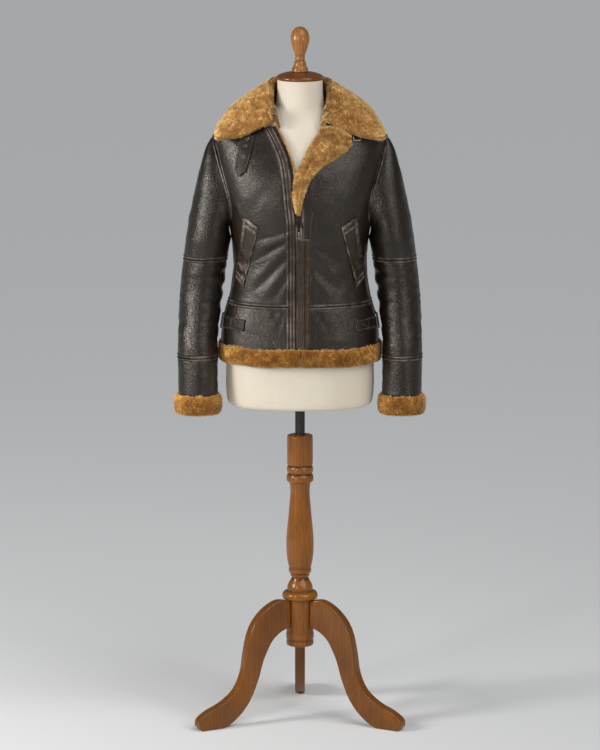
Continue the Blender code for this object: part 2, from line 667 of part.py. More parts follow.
def build_body(mats, parent):
    hide = mats["leather"]
    wall("front_left", *upper_panel(-1, 1, front_edge(FOLD), 9), HIDE, hide, parent)
    wall("front_right", *upper_panel(-1, -1, front_edge(STRIP_SEAM, -1), 8), HIDE, hide, parent)

    left, left_normal = upper_panel(1, 1, upright(math.pi / 2), 9)
    right, right_normal = upper_panel(1, -1, upright(math.pi / 2), 9)
    back = np.concatenate((left, right[:, -2::-1]), axis=1)
    back_normal = np.concatenate((left_normal, right_normal[:, -2::-1]), axis=1)
    wall("back", back, back_normal, HIDE, hide, parent)

    for name, start, end, cols in (("waist_front_left", upright(0.0), front_edge(FOLD), 9),
                                   ("waist_front_right", upright(-math.pi), front_edge(STRIP_SEAM), 8),
                                   ("waist_back", upright(0.0), upright(math.pi), 17)):
        wall(name, *level_panel(WAIST_ROWS, start, end, cols), HIDE, hide, parent)
    strip = level_panel(front_edge_rows(), front_edge(STRIP_SEAM), front_edge(ZIP_EDGE), 3)
    wall("front_strip_right", *strip, HIDE, hide, parent)


def laid_on_front(corners, rows, cols, out):
    """Patch laid on the front between four (x, z) corners: top right, top left, low right, low left."""
    along = np.linspace(0, 1, rows)[:, None]
    across = np.linspace(0, 1, cols)[None, :]
    (ax, az), (bx, bz), (cx, cz), (dx, dz) = corners
    x = (1 - along) * ((1 - across) * ax + across * bx) + along * ((1 - across) * cx + across * dx)
    z = (1 - along) * ((1 - across) * az + across * bz) + along * ((1 - across) * cz + across * dz)
    return on_front(x, z, np.full(x.shape, out))


# ---------------------------------------------------------------- sleeves, fur and trims

def build_sleeves(mats, parent):
    grid, normal, torso_side = sleeve_grid()
    normal = normal.copy()
    normal[0] = mitred(normal[0], torso_side)
    head = len(SLEEVE_HEAD)
    elbow = head + SLEEVE_RINGS.index(ELBOW_Z)
    lower = head + SLEEVE_RINGS.index(LOWER_Z)
    cuff = head + SLEEVE_RINGS.index(CUFF_Z)
    for side, label in ((1, "left"), (-1, "right")):
        for name, first, last in (("sleeve_upper", 0, elbow), ("sleeve_elbow", elbow, lower),
                                  ("sleeve_lower", lower, cuff)):
            part = slice(first, last + 1)
            wall(f"{name}_{label}", mirrored(grid[part], side), mirrored(normal[part], side), HIDE,
                 mats["leather"], parent, closed=True)
        build_cuff(f"cuff_{label}", grid[cuff], side, mats["fur"], parent)


def band_section(point, away, profile, pressed):
    """Section of a fur band at a point of its edge; only its outward reach is pressed flat."""
    d, up = np.array(profile).T
    return point + away * (d * np.where(d > 0, pressed, 1.0))[:, None] + np.outer(up, (0, 0, 1))


def build_cuff(name, ring, side, material, parent):
    centre = ring.mean(axis=0)
    away = unit((ring - centre) * np.array((1, 1, 0)))
    sections = [mirrored(band_section(p, out, CUFF_SECTION, 1.0), side) for p, out in zip(ring, away)]
    sweep(name, sections, material, parent, closed=True)


def build_hem(mats, parent):
    """Band of fur below the leather, open at the middle of the front."""
    start = float(front_phi(HEM_SPLIT, HEM_Z))
    end = float(front_phi(-HEM_SPLIT, HEM_Z)) + math.tau
    sections = []
    for phi in np.linspace(start, end, HEM_STATIONS):
        point = torso_skin(phi, HEM_Z)
        out = unit(torso_normal(phi, HEM_Z) * np.array((1, 1, 0)))
        pressed = 1 - HEM_PRESSED * math.cos(phi) ** 8
        sections.append(band_section(point, out, HEM_SECTION, pressed))
    sweep("hem_fur", sections, mats["fur"], parent)


def neck_seam(along):
    """Points of the neckline from a front end (0) to the middle of the back (1), on the left."""
    share = np.clip(1 - along / NECK_FRONT, 0, 1)
    end_z = NECK_Z - NECK_DROP
    z = NECK_Z - NECK_DROP * share ** NECK_CURVE
    front = front_phi(column_of(FRONT_EDGES, FOLD, end_z), end_z)
    behind = math.pi / 2 * (along - NECK_FRONT) / (1 - NECK_FRONT)
    phi = np.where(along < NECK_FRONT, front * (1 - along / NECK_FRONT), behind)
    return torso_skin(phi, z) + np.array((0, 0, NECK_LIFT))


def build_collar(mats, parent):
    """Fur side of the collar: leaf, rolled top and stand, drawn station by station."""
    along = np.linspace(0, 1, COLLAR_STATIONS // 2 + 1)
    roll = np.stack([column_of(COLLAR, c, along) for c in (1, 2, 3)], axis=-1)
    edge = np.stack([column_of(COLLAR, c, along) for c in (4, 5, 6)], axis=-1)
    belly = column_of(COLLAR, 7, along)
    seam = neck_seam(along)
    up = np.array((0.0, 0.0, 1.0))
    rows = []
    for r, e, b, s in zip(roll, edge, belly, seam):
        ahead = unit((e - r) * np.array((1, 1, 0)))
        leaf = unit(e - r)
        out = unit(up - leaf * leaf.dot(up))
        centre = r - up * COLLAR_ROLL
        leaf_top = centre + out * COLLAR_ROLL
        inside = centre - ahead * COLLAR_ROLL
        foot = s - ahead * COLLAR_T * FOOT_SHARE
        shares = np.array(LEAF_SHARES)[:, None]
        leaf_points = leaf_top + (e - leaf_top) * shares + out * b * np.sin(math.pi * shares ** LEAF_SWELL)
        rows.append([*leaf_points, leaf_top, r, inside, (inside + foot) / 2, foot])
    half = np.array(rows)
    grid = np.concatenate((half, mirrored(half[-2::-1], -1)))
    back, down = np.gradient(grid, axis=0), np.gradient(grid, axis=1)
    normal = unit(np.cross(back, down))
    wall("collar", grid, normal, COLLAR_T, mats["fur"], parent, trim=False)


def build_lapel(mats, parent):
    along = np.linspace(0, 1, LAPEL_ROWS)
    across = np.linspace(0, 1, LAPEL_COLS)
    fold_x, fold_z, edge_x, edge_z, swell = (column_of(LAPEL, c, along)[:, None] for c in range(1, 6))
    x = fold_x + (edge_x - fold_x) * across
    z = fold_z + (edge_z - fold_z) * across + swell * np.sin(math.pi * across)
    thick = LAPEL_EDGE_T + LAPEL_RISE * np.sin(math.pi * across) * np.ones((len(along), 1))
    base, normal = on_front(x, z, np.full(x.shape, REST + LAPEL_LIFT))
    wall("lapel", base + normal * thick[..., None], normal, thick, mats["fur"], parent, trim=False)


def build_trims(mats, parent):
    hide = mats["leather"]
    zip_rows = front_edge_rows()
    left = column_of(FRONT_EDGES, ZIP_EDGE, zip_rows) + SEAM
    closed = column_of(FRONT_EDGES, FOLD, zip_rows) - SEAM
    right = np.where(zip_rows < SLIDER_Z, closed, left + OPEN_ZIP_WIDTH)
    x = left[:, None] + (right - left)[:, None] * np.array((0.0, 0.5, 1.0))
    z = np.repeat(zip_rows[:, None], 3, axis=1)
    tape = on_front(x, z, np.full(x.shape, -ZIP_SINK))
    wall("zip_tape", *tape, ZIP_T, mats["antique_metal"], parent, trim=False)

    z, x = np.meshgrid(PLACKET_ROWS, PLACKET_X, indexing="ij")
    placket = on_front(x, z, np.full(x.shape, REST + PLACKET_LIFT + TRIM))
    wall("placket", *placket, TRIM, hide, parent, trim=False)

    for side, label in ((-1, "right"), (1, "left")):
        corners = [(side * x, z) for x, z in WELT_CORNERS]
        welt = laid_on_front(corners, 9, 4, REST + WELT_THICK)
        wall(f"pocket_welt_{label}", *welt, WELT_THICK, hide, parent, trim=False)
        build_side_strap(side, label, mats, parent)
    build_throat(mats, parent)


def build_side_strap(side, label, mats, parent):
    start = float(front_phi(STRAP_FRONT_X, STRAP_Z))
    turns = np.linspace(start, STRAP_BACK_TURN, STRAP_STATIONS)
    phi = np.repeat(turns[None, :], 3, axis=0)
    if side < 0:
        phi = math.pi - phi
    z = STRAP_Z + np.array((-0.5, 0.0, 0.5))[:, None] * STRAP_HEIGHT * np.ones((1, STRAP_STATIONS))
    normal = torso_normal(phi, z)
    strap = torso_skin(phi, z) + normal * (REST + TRIM)
    wall(f"side_strap_{label}", strap, normal, TRIM, mats["leather"], parent, trim=False)
    centre_phi = -BUCKLE_TURN if side > 0 else math.pi + BUCKLE_TURN
    normal = torso_normal(centre_phi, STRAP_Z)
    centre = torso_skin(centre_phi, STRAP_Z) + normal * (REST + TRIM + BUCKLE_LIFT)
    build_frame(f"side_buckle_{label}", frame_at(centre, normal), BUCKLE_SIZE, mats["antique_metal"], parent)


def build_frame(name, frame, size, material, parent):
    """Rectangular ring with round corners, lying in the frame's XY plane."""
    width, height, bar = size
    path = []
    for k in range(16):
        quarter = k // 4
        turn = math.radians(90 * quarter + 30 * (k % 4))
        sx, sy = ((1, 1), (-1, 1), (-1, -1), (1, -1))[quarter]
        path.append((sx * (width / 2 - BUCKLE_CORNER) + BUCKLE_CORNER * math.cos(turn),
                     sy * (height / 2 - BUCKLE_CORNER) + BUCKLE_CORNER * math.sin(turn)))
    sections = []
    for k, (x, y) in enumerate(path):
        before, after = path[k - 1], path[(k + 1) % len(path)]
        along = Vector((after[0] - before[0], after[1] - before[1])).normalized()
        out = Vector((along.y, -along.x))
        ring = [(-bar, -bar / 2), (0, -bar / 2), (0, bar / 2), (-bar, bar / 2)]
        sections.append([frame @ Vector((x + out.x * d, y + out.y * d, h)) for d, h in ring])
    sweep(name, sections, material, parent, closed=True, smooth_angle=30)


def build_throat(mats, parent):
    """Pointed strap hanging from under the collar, its eyelets, and the buckle on the other side."""
    top, tip = np.array(THROAT_TOP), np.array(THROAT_TIP)
    along = unit(tip - top)
    across = np.array((-along[1], along[0]))
    half = np.array(THROAT_TAPER) * THROAT_HALF
    middle = top + (tip - top) * np.array(THROAT_SHARES)[:, None]
    points = middle[:, None, :] + across * (half[:, None] * np.linspace(-1, 1, 5))[..., None]
    x, z = points[..., 0], points[..., 1]
    strap = on_front(x, z, np.full(x.shape, REST + THROAT_LIFT + TRIM))
    wall("throat_strap", *strap, TRIM, mats["leather"], parent, trim=False)
    for number, share in enumerate(EYELETS, 1):
        x, z = top + (tip - top) * share
        point, normal = on_front(x, z, np.array(REST + THROAT_LIFT + TRIM + SEAM))
        lathe(f"eyelet_{number}", EYELET_SECTION, mats["antique_metal"], parent, steps=12,
              frame=frame_at(point, normal))
    point, normal = on_front(*THROAT_BUCKLE_AT, np.array(REST + THROAT_BUCKLE_SIZE[2] / 2))
    build_frame("throat_buckle", frame_at(point, normal), THROAT_BUCKLE_SIZE, mats["antique_metal"], parent)


def build_zip_hardware(mats, parent):
    """Slider with two lugs, and the pull tab hinged between them."""
    heights = SLIDER_Z + np.array((-0.5, 0.0, 0.5)) * SLIDER_HEIGHT
    front_y = float(on_front(ZIP_X, heights, np.full(3, -ZIP_SINK))[0][:, 1].min()) - PLAY
    half = ((LUG_INSIDE, SLIDER_BODY), (LUG_INSIDE, LUG_REACH), (SLIDER_HALF, LUG_REACH), (SLIDER_HALF, 0.0))
    outline = tuple((-x, y) for x, y in reversed(half)) + half
    frame = Matrix.Translation((ZIP_X, front_y, SLIDER_Z)) @ Matrix.Rotation(math.pi, 4, "Z")
    prism("zip_slider", outline, SLIDER_HEIGHT, frame, mats["antique_metal"], parent)

    hinge = Vector((ZIP_X, front_y - SLIDER_BODY - SEAM - PULL_KNUCKLE_R - PLAY, SLIDER_Z + HINGE_RISE))
    turn = make_empty("pull_hinge", hinge, parent)
    right = ((PULL_NECK_HALF, 0.0), (PULL_NECK_HALF, PULL_NECK_END),
             (PULL_HALF, PULL_NECK_END - PULL_SHOULDER), (PULL_HALF, PULL_EASE - PULL_LENGTH),
             (PULL_HALF - PULL_EASE, -PULL_LENGTH))
    shape = right + tuple((-x, z) for x, z in reversed(right))
    standing = Matrix.Translation(hinge) @ Matrix.Rotation(math.radians(90), 4, "X")
    prism("zip_pull", shape, PULL_THICK, standing, mats["antique_metal"], turn)


# ---------------------------------------------------------------- dress form and stand

def build_form(mats, parent):
    phi = np.linspace(0, math.tau, FORM_STEPS, endpoint=False)
    rings = []
    for radius, z in ((0, POLE_TOP_Z + SEAM), (BORE_R, POLE_TOP_Z + SEAM), (BORE_R, FORM_HIP[0, 0])):
        rings.append([(radius * math.cos(a), radius * math.sin(a), z) for a in (phi if radius else phi[:1])])
    for height, half_width, front, back in FORM_HIP:
        x, y = section(phi, half_width, front, back)
        rings.append(np.stack((x, y, np.full_like(x, height)), axis=-1))
    _, arm_z = half_armhole(-1)
    slope = SHOULDER_Z + (NECK_Z - SHOULDER_Z) * SLOPE_SHARES
    heights = np.concatenate((FORM_LOW_ROWS, CHEST_ROWS, arm_z, slope))
    for height in heights:
        behind = float(column_of(FORM_BEHIND, 1, height))
        rings.append(torso_skin(phi, height) - torso_normal(phi, height) * behind)
    for height, radius in FORM_NECK:
        rings.append([(radius * math.cos(a), radius * math.sin(a), height) for a in phi])
    rings.append([(0, 0, FORM_NECK[-1, 0])])
    bm = bmesh.new()
    loops = [[bm.verts.new(p) for p in ring] for ring in rings]
    for a, b in zip(loops, loops[1:]):
        for k in range(FORM_STEPS):
            j = (k + 1) % FORM_STEPS
            loop = [a[k % len(a)], a[j % len(a)], b[j % len(b)], b[k % len(b)]]
            bm.faces.new(list(dict.fromkeys(loop)))
    finish(bm, "form", mats["canvas"], parent)
    lathe("neck_cap", CAP_PROFILE, mats["wood"], parent)
    lathe("finial", FINIAL_PROFILE, mats["wood"], parent, steps=20)


def build_stand(mats, parent, pole_parent):
    lathe("column", COLUMN_PROFILE, mats["wood"], parent)
    pole = ((0.0, POLE_FOOT_Z), (POLE_R, POLE_FOOT_Z), (POLE_R, POLE_TOP_Z), (0.0, POLE_TOP_Z))
    lathe("pole", pole, mats["dark_steel"], pole_parent)
    for name, heading in LEG_HEADINGS.items():
        turned = Matrix.Rotation(math.radians(heading), 4, "Z")
        standing = turned @ Matrix.Rotation(math.radians(90), 4, "X")
        prism(name, LEG_TOP + LEG_UNDERSIDE, LEG_THICK, standing, mats["wood"], parent, bevel=LEG_BEVEL)


def centre_on_origin(root):
    """Move everything so that the whole's box is centred over the origin."""
    bpy.context.view_layer.update()
    solids = [ob for ob in bpy.data.objects if ob.type == "MESH"]
    points = [ob.matrix_world @ v.co for ob in solids for v in ob.data.vertices]
    for axis in (0, 1):
        values = [p[axis] for p in points]
        root.location[axis] = -(min(values) + max(values)) / 2
    bpy.context.view_layer.update()


def main():
    clear_scene()
    mats = make_materials()
    root = make_empty("stand", (0, 0, 0))
    slide = make_empty("height_slide", (0, 0, COLUMN_TOP_Z), root)
    swivel = make_empty("form_swivel", (0, 0, POLE_TOP_Z), slide)
    build_stand(mats, root, slide)
    build_form(mats, swivel)
    build_body(mats, swivel)
    build_sleeves(mats, swivel)
    build_hem(mats, swivel)
    build_collar(mats, swivel)
    build_lapel(mats, swivel)
    build_trims(mats, swivel)
    build_zip_hardware(mats, swivel)
    centre_on_origin(root)


main()
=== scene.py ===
"""Looks of the shearling bomber jacket on its dress form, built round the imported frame.

Metres, Z up, the front faces -Y. Shapes are drawn round the column's axis and then moved to it.
"Left" and "right" are the wearer's: the right sleeve is at -X.
"""

import math

import bmesh
import bpy
import numpy as np
from mathutils import Matrix, Quaternion, Vector


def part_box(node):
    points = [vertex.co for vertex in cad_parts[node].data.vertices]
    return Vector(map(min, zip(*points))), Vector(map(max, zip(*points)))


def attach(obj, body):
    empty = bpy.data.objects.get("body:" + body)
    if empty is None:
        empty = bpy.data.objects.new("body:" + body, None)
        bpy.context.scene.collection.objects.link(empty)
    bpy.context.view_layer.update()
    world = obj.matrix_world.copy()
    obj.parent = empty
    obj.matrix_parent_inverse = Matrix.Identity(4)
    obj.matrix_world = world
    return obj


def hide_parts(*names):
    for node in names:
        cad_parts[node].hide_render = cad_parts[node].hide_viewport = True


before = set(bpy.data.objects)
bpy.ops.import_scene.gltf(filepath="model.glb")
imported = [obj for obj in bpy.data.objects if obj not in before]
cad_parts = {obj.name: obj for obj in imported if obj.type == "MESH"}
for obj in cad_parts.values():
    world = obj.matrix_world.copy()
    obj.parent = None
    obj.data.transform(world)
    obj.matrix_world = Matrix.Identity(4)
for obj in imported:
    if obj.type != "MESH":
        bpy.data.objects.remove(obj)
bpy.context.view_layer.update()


# ---------------------------------------------------------------- places taken from the frame

def middle(node):
    low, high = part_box(node)
    return (low + high) / 2


AXIS = Vector((middle("column").x, middle("column").y, 0.0))
COLUMN_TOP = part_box("column")[1].z
POLE_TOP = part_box("pole")[1].z
BODY = "dressed_form"
SIDES = ((1, "left"), (-1, "right"))
UP = np.array((0, 0, 1.0))
LEVEL = np.array((1, 1, 0))     # takes the height out of a direction

# ---------------------------------------------------------------- driving sizes

HEM_Z = 0.9043          # lower edge of the leather
WAIST_Z = 1.003         # waist seam
ARMPIT_Z = 1.180
SHOULDER_Z = 1.393
NECK_Z = 1.450
NECK_DROP = 0.032       # how much lower the neckline is at the front opening
NECK_FRONT = 0.45       # share of the neckline that lies on the front
NECK_LIFT = 0.0020      # how far the collar's foot stands above the neckline
POWER = 2.3             # roundness of the horizontal torso sections
SEAM = 0.0003
HIDE = 0.0034           # leather with its short inner wool
TRIM = 0.0021           # straps and plackets laid on a panel
GRID = 0.0042           # usual spacing of the points of a leather panel
BACK_GRID = 0.0054
STRIP_GRID = 0.0050

TORSO = np.array([
    # height  half_width  front   back
    (0.860,   0.1830,     0.1300, 0.1330),
    (0.904,   0.1830,     0.1280, 0.1310),
    (0.950,   0.1790,     0.1230, 0.1260),
    (0.985,   0.1720,     0.1185, 0.1215),
    (1.003,   0.1662,     0.1160, 0.1185),
    (1.030,   0.1600,     0.1140, 0.1140),
    (1.090,   0.1538,     0.1140, 0.1080),
    (1.130,   0.1560,     0.1210, 0.1100),
    (1.180,   0.1630,     0.1320, 0.1150),
    (1.240,   0.1730,     0.1370, 0.1200),
    (1.300,   0.1850,     0.1270, 0.1220),
    (1.350,   0.1940,     0.1060, 0.1150),
    (1.393,   0.1985,     0.0840, 0.0960),
    (1.410,   0.1600,     0.0770, 0.0880),
    (1.425,   0.1240,     0.0720, 0.0800),
    (1.440,   0.0920,     0.0670, 0.0710),
    (1.456,   0.0740,     0.0620, 0.0650),
])

# Creases of the body: troughs (depth above 0) and ridges (below 0) from one end to the other.
CREASES = np.array([
    # face(-1 front)  x0      z0     x1      z1     width   depth
    # from the zip down to the right pocket
    (-1,             -0.030,  1.181, -0.104, 1.156, 0.0048, 0.0030),
    (-1,             -0.030,  1.168, -0.094, 1.136, 0.0075, -0.0030),
    (-1,             -0.036,  1.154, -0.108, 1.108, 0.0056, 0.0044),
    (-1,             -0.028,  1.144, -0.100, 1.066, 0.0110, -0.0042),
    (-1,             -0.030,  1.120, -0.102, 1.042, 0.0068, 0.0036),
    (-1,             -0.030,  1.098, -0.082, 1.028, 0.0092, -0.0036),
    (-1,             -0.029,  1.070, -0.058, 1.028, 0.0062, 0.0024),
    (-1,             -0.072,  1.170, -0.092, 1.160, 0.0036, 0.0022),
    # the left front's, softer
    (-1,              0.034,  1.160,  0.086, 1.138, 0.0080, -0.0022),
    (-1,              0.036,  1.145,  0.094, 1.106, 0.0062, 0.0030),
    (-1,              0.034,  1.126,  0.088, 1.070, 0.0095, -0.0032),
    (-1,              0.032,  1.096,  0.090, 1.040, 0.0066, 0.0030),
    (-1,              0.034,  1.070,  0.070, 1.026, 0.0080, -0.0024),
    # chest and shoulder
    (-1,              0.120,  1.215,  0.070, 1.270, 0.0110, 0.0014),
    (-1,             -0.118,  1.225, -0.070, 1.285, 0.0110, 0.0014),
    (-1,             -0.150,  1.245, -0.128, 1.200, 0.0060, -0.0012),
    (-1,              0.150,  1.250,  0.130, 1.205, 0.0060, -0.0012),
    # puckers under the waist seam
    (-1,             -0.052,  0.996, -0.070, 0.968, 0.0055, 0.0012),
    (-1,             -0.078,  0.994, -0.058, 0.962, 0.0050, -0.0012),
    (-1,             -0.036,  0.990, -0.052, 0.950, 0.0050, 0.0010),
    (-1,             -0.112,  0.940, -0.060, 0.922, 0.0070, 0.0010),
    (-1,              0.038,  0.992,  0.062, 0.952, 0.0055, 0.0014),
    (-1,              0.060,  0.990,  0.044, 0.948, 0.0050, -0.0013),
    (-1,              0.084,  0.980,  0.102, 0.938, 0.0060, 0.0012),
    (-1,              0.050,  0.930,  0.108, 0.922, 0.0060, -0.0009),
    # the back, drawn as the front's are
    (1,              -0.020,  1.120, -0.110, 1.066, 0.0100, 0.0026),
    (1,              -0.024,  1.098, -0.104, 1.046, 0.0085, -0.0022),
    (1,               0.018,  1.090,  0.108, 1.050, 0.0095, 0.0022),
    (1,               0.030,  1.068,  0.100, 1.030, 0.0080, -0.0018),
    (1,              -0.060,  1.148, -0.126, 1.120, 0.0080, 0.0014),
    (1,               0.052,  1.140,  0.120, 1.108, 0.0080, 0.0015),
    (1,              -0.118,  1.230, -0.056, 1.302, 0.0120, 0.0018),
    (1,               0.116,  1.226,  0.050, 1.296, 0.0120, 0.0018),
    (1,              -0.030,  1.340,  0.036, 1.334, 0.0100, 0.0010),
    (1,              -0.090,  0.990, -0.074, 0.950, 0.0060, 0.0012),
    (1,              -0.020,  0.992, -0.036, 0.944, 0.0060, -0.0011),
    (1,               0.060,  0.988,  0.078, 0.946, 0.0060, 0.0012),
])

# Front edges: x of the right front's zip edge, of the left front's fold, and of the right strip's seam.
FRONT_EDGES = np.array([
    # height  zip_edge  fold     strip_seam
    (0.860,  -0.0100,   0.0040, -0.0245),
    (1.190,  -0.0100,   0.0040, -0.0250),
    (1.228,  -0.0130,   0.0030, -0.0285),
    (1.283,  -0.0178,  -0.0060, -0.0335),
    (1.320,  -0.0220,   0.0040, -0.0380),
    (1.345,  -0.0275,   0.0145, -0.0435),
    (1.370,  -0.0370,   0.0250, -0.0530),
    (1.400,  -0.0525,   0.0400, -0.0690),
    (1.430,  -0.0700,   0.0550, -0.0880),
])
ZIP_EDGE, FOLD, STRIP_SEAM = 1, 2, 3
FRONT_TOP = NECK_Z - NECK_DROP

LAPEL = np.array([
    # along  fold_x   fold_z  edge_x   edge_z  swell
    (0.00,  -0.0080,  1.226, -0.0010,  1.222,  0.000),
    (0.18,  -0.0160,  1.262,  0.0060,  1.258,  0.000),
    (0.40,  -0.0115,  1.305,  0.0215,  1.298,  0.000),
    (0.60,   0.0060,  1.343,  0.0480,  1.327,  0.001),
    (0.80,   0.0270,  1.382,  0.0960,  1.356,  0.003),
    (0.92,   0.0415,  1.401,  0.1180,  1.377,  0.006),
    (1.00,   0.0480,  1.411,  0.1165,  1.390,  0.008),
])

COLLAR = np.array([
    # along  roll_x  roll_y   roll_z  edge_x  edge_y   edge_z  belly
    (0.00,   0.0560, -0.0820, 1.438,  0.1890, -0.0850, 1.398, -0.012),
    (0.14,   0.0640, -0.0600, 1.464,  0.2000, -0.0560, 1.400,  0.008),
    (0.30,   0.0700, -0.0280, 1.496,  0.1985, -0.0200, 1.406,  0.015),
    (0.45,   0.0715,  0.0080, 1.514,  0.1930,  0.0200, 1.407,  0.016),
    (0.62,   0.0620,  0.0400, 1.521,  0.1620,  0.0780, 1.400,  0.014),
    (0.80,   0.0370,  0.0610, 1.524,  0.0950,  0.1160, 1.388,  0.012),
    (1.00,   0.0000,  0.0680, 1.525,  0.0000,  0.1270, 1.382,  0.011),
])
COLLAR_FOOT_IN = 0.0069  # how far the fur side of the foot lies inside the neckline
COLLAR_ROLL = 0.013      # radius of the fold at the top
LEAF_SHARES = (1.0, 0.86, 0.60, 0.30)
BELLY_POWER = 1.25       # above 1 the leaf's belly lies nearer its edge

ARMHOLE_FRONT = 0.050    # reach ahead of the arm's middle line
ARMHOLE_BACK = 0.062
ARMHOLE_HOLLOW = 0.030   # how much less of that reach there is at the top of the arm, more below
SLEEVE_HEAD = np.array([
    # top_x   top_z   low_x   low_z   half_depth
    (0.1985,  1.3930, 0.1630, 1.1800, 0.0600),
    (0.2155,  1.3650, 0.1638, 1.1765, 0.0625),
    (0.2310,  1.3200, 0.1634, 1.1730, 0.0650),
    (0.2430,  1.2660, 0.1626, 1.1680, 0.0665),
    (0.2560,  1.2050, 0.1615, 1.1610, 0.0670),
    (0.2660,  1.1500, 0.1602, 1.1500, 0.0665),
])
SLEEVE = np.array([
    # height  centre_x  centre_y  half_width  half_depth
    (0.789,   0.2371,   -0.0450,  0.0463,     0.0520),
    (0.858,   0.2380,   -0.0370,  0.0466,     0.0540),
    (0.904,   0.2375,   -0.0300,  0.0468,     0.0555),
    (0.945,   0.2362,   -0.0180,  0.0475,     0.0570),
    (0.986,   0.2333,   -0.0050,  0.0490,     0.0590),
    (1.043,   0.2270,    0.0050,  0.0507,     0.0615),
    (1.100,   0.2203,    0.0055,  0.0512,     0.0640),
    (1.150,   0.2131,    0.0000,  0.0529,     0.0665),
])
HEAD_END = 1.150
ELBOW_Z = 1.103
LOWER_Z = 0.877
CUFF_Z = 0.789
SLEEVE_AROUND = 84

# Creases across a sleeve; 0 degrees is its inner back, -90 the front, 90 the back, 180 the outside.
SLEEVE_CREASES = np.array([
    # height  towards(deg)  spread(deg)  tilt     width   depth
    (1.300,   120,          50,         -0.030,   0.0120, 0.0016),
    (1.245,   -70,          50,          0.030,   0.0100, 0.0016),
    (1.205,   -40,          45,          0.026,   0.0090, -0.0018),
    (1.168,   -75,          50,          0.016,   0.0085, 0.0018),
    (1.128,   200,          60,          0.010,   0.0100, 0.0024),
    (1.082,   -70,          55,         -0.004,   0.0060, -0.0012),
    (1.068,   -60,          70,         -0.008,   0.0080, 0.0028),
    (1.050,   -80,          60,          0.004,   0.0065, -0.0016),
    (1.032,   -90,          80,          0.006,   0.0085, 0.0032),
    (1.014,   -70,          60,         -0.003,   0.0060, -0.0014),
    (0.996,   -70,          70,          0.010,   0.0090, 0.0028),
    (0.978,   -95,          55,         -0.004,   0.0060, -0.0012),
    (0.958,    60,          60,         -0.010,   0.0110, 0.0022),
    (0.944,   -85,          60,          0.006,   0.0075, 0.0018),
    (0.918,   -80,          80,          0.008,   0.0100, 0.0024),
    (0.890,   150,          70,         -0.006,   0.0090, 0.0018),
    (0.856,   -70,          60,          0.005,   0.0080, 0.0012),
    (0.826,  -110,          60,         -0.004,   0.0080, 0.0012),
])

CUFF_SECTION = ((-0.0100, -0.0030), (-0.0045, -0.0006), (0.0014, -0.0006), (0.0035, 0.0008),
                (0.0075, -0.0035), (0.0115, -0.0130), (0.0120, -0.0330), (0.0075, -0.0470),
                (-0.0010, -0.0500), (-0.0090, -0.0450))
HEM_SECTION = ((-0.0060, -0.0040), (-0.0045, -0.0006), (0.0018, -0.0006), (0.0045, 0.0025),
               (0.0090, 0.0010), (0.0120, -0.0095), (0.0120, -0.0290), (0.0085, -0.0400),
               (0.0005, -0.0440), (-0.0055, -0.0400))
HEM_PRESSED = 0.42
HEM_SPLIT = 0.0015

# Soft unevenness: height and size of its features, broad ones first.
BODY_SOFT = ((0.0007, 0.030), (0.00032, 0.011))
SLEEVE_SOFT = ((0.0007, 0.026), (0.0003, 0.010))
COLLAR_SOFT = ((0.0011, 0.024), (0.0007, 0.010))
HEM_SOFT = ((0.0016, 0.045), (0.0010, 0.018))

# Raised cords beside the left front's fold and on the strip beside the zip: place, width and height.
FACING_CORDS = ((0.0265, 0.0016, 0.0012), (0.0300, 0.0016, 0.0009))
STRIP_CORDS = ((0.0085, 0.0015, 0.0010),)
CORD_STITCH = 0.0040    # from a facing cord to its stitches

PLACKET_X = (-0.0075, 0.0210)
PLACKET_TOP = 1.165
WELT_CORNERS = ((0.0950, 1.190), (0.1290, 1.212), (0.1295, 1.044), (0.1470, 1.062))
STRAP_Z = 0.957
STRAP_HEIGHT = 0.027
STRAP_FRONT_X = 0.128
STRAP_BACK_TURN = math.radians(50)
THROAT_TOP = (-0.1185, 1.399)
THROAT_TIP = (-0.1398, 1.3045)
THROAT_HALF = 0.0148
EYELETS = (0.10, 0.29, 0.53)

FORM_BEHIND = np.array([
    # height  behind
    (0.860,   0.0110),
    (1.003,   0.0100),
    (1.090,   0.0120),
    (1.180,   0.0100),
    (1.240,   0.0080),
    (1.300,   0.0065),
    (1.385,   0.0076),
    (1.410,   0.0062),
    (1.435,   0.0066),
    (1.456,   0.0062),
])
FORM_HIP = np.array([
    # height  half_width  front   back
    (0.7570,  0.1600,     0.1040, 0.1070),
    (0.7605,  0.1665,     0.1085, 0.1120),
    (0.7710,  0.1705,     0.1110, 0.1150),
    (0.8100,  0.1730,     0.1140, 0.1180),
    (0.8600,  0.1722,     0.1190, 0.1220),
])
FORM_NECK = np.array([
    # height  radius
    (1.456,   0.0575),
    (1.474,   0.0545),
    (1.490,   0.0527),
    (1.518,   0.0522),
])
BORE_R = 0.0119
POLE_R = 0.0115

CAP_PROFILE = ((0.0450, 1.5183), (0.0515, 1.5184), (0.0540, 1.5200), (0.0545, 1.5225), (0.0540, 1.5255),
               (0.0510, 1.5285), (0.0430, 1.5317), (0.0340, 1.5343), (0.0260, 1.5354), (0.0100, 1.5355))
FINIAL_PROFILE = ((0.0170, 1.5358), (0.0188, 1.5360), (0.0192, 1.5390), (0.0188, 1.5430), (0.0176, 1.5462),
                  (0.0146, 1.5495), (0.0146, 1.5580), (0.0112, 1.5610), (0.0106, 1.5630), (0.0118, 1.5645),
                  (0.0118, 1.5675), (0.0110, 1.5700), (0.0112, 1.5735), (0.0135, 1.5800), (0.0185, 1.5950),
                  (0.0212, 1.6040), (0.0222, 1.6100), (0.0222, 1.6140), (0.0216, 1.6195), (0.0198, 1.6265),
                  (0.0150, 1.6342), (0.0098, 1.6382), (0.0050, 1.6402), (0.0012, 1.6405))
GROOVE_REACH = 0.009    # how near a fuller ring makes a groove of the ring between
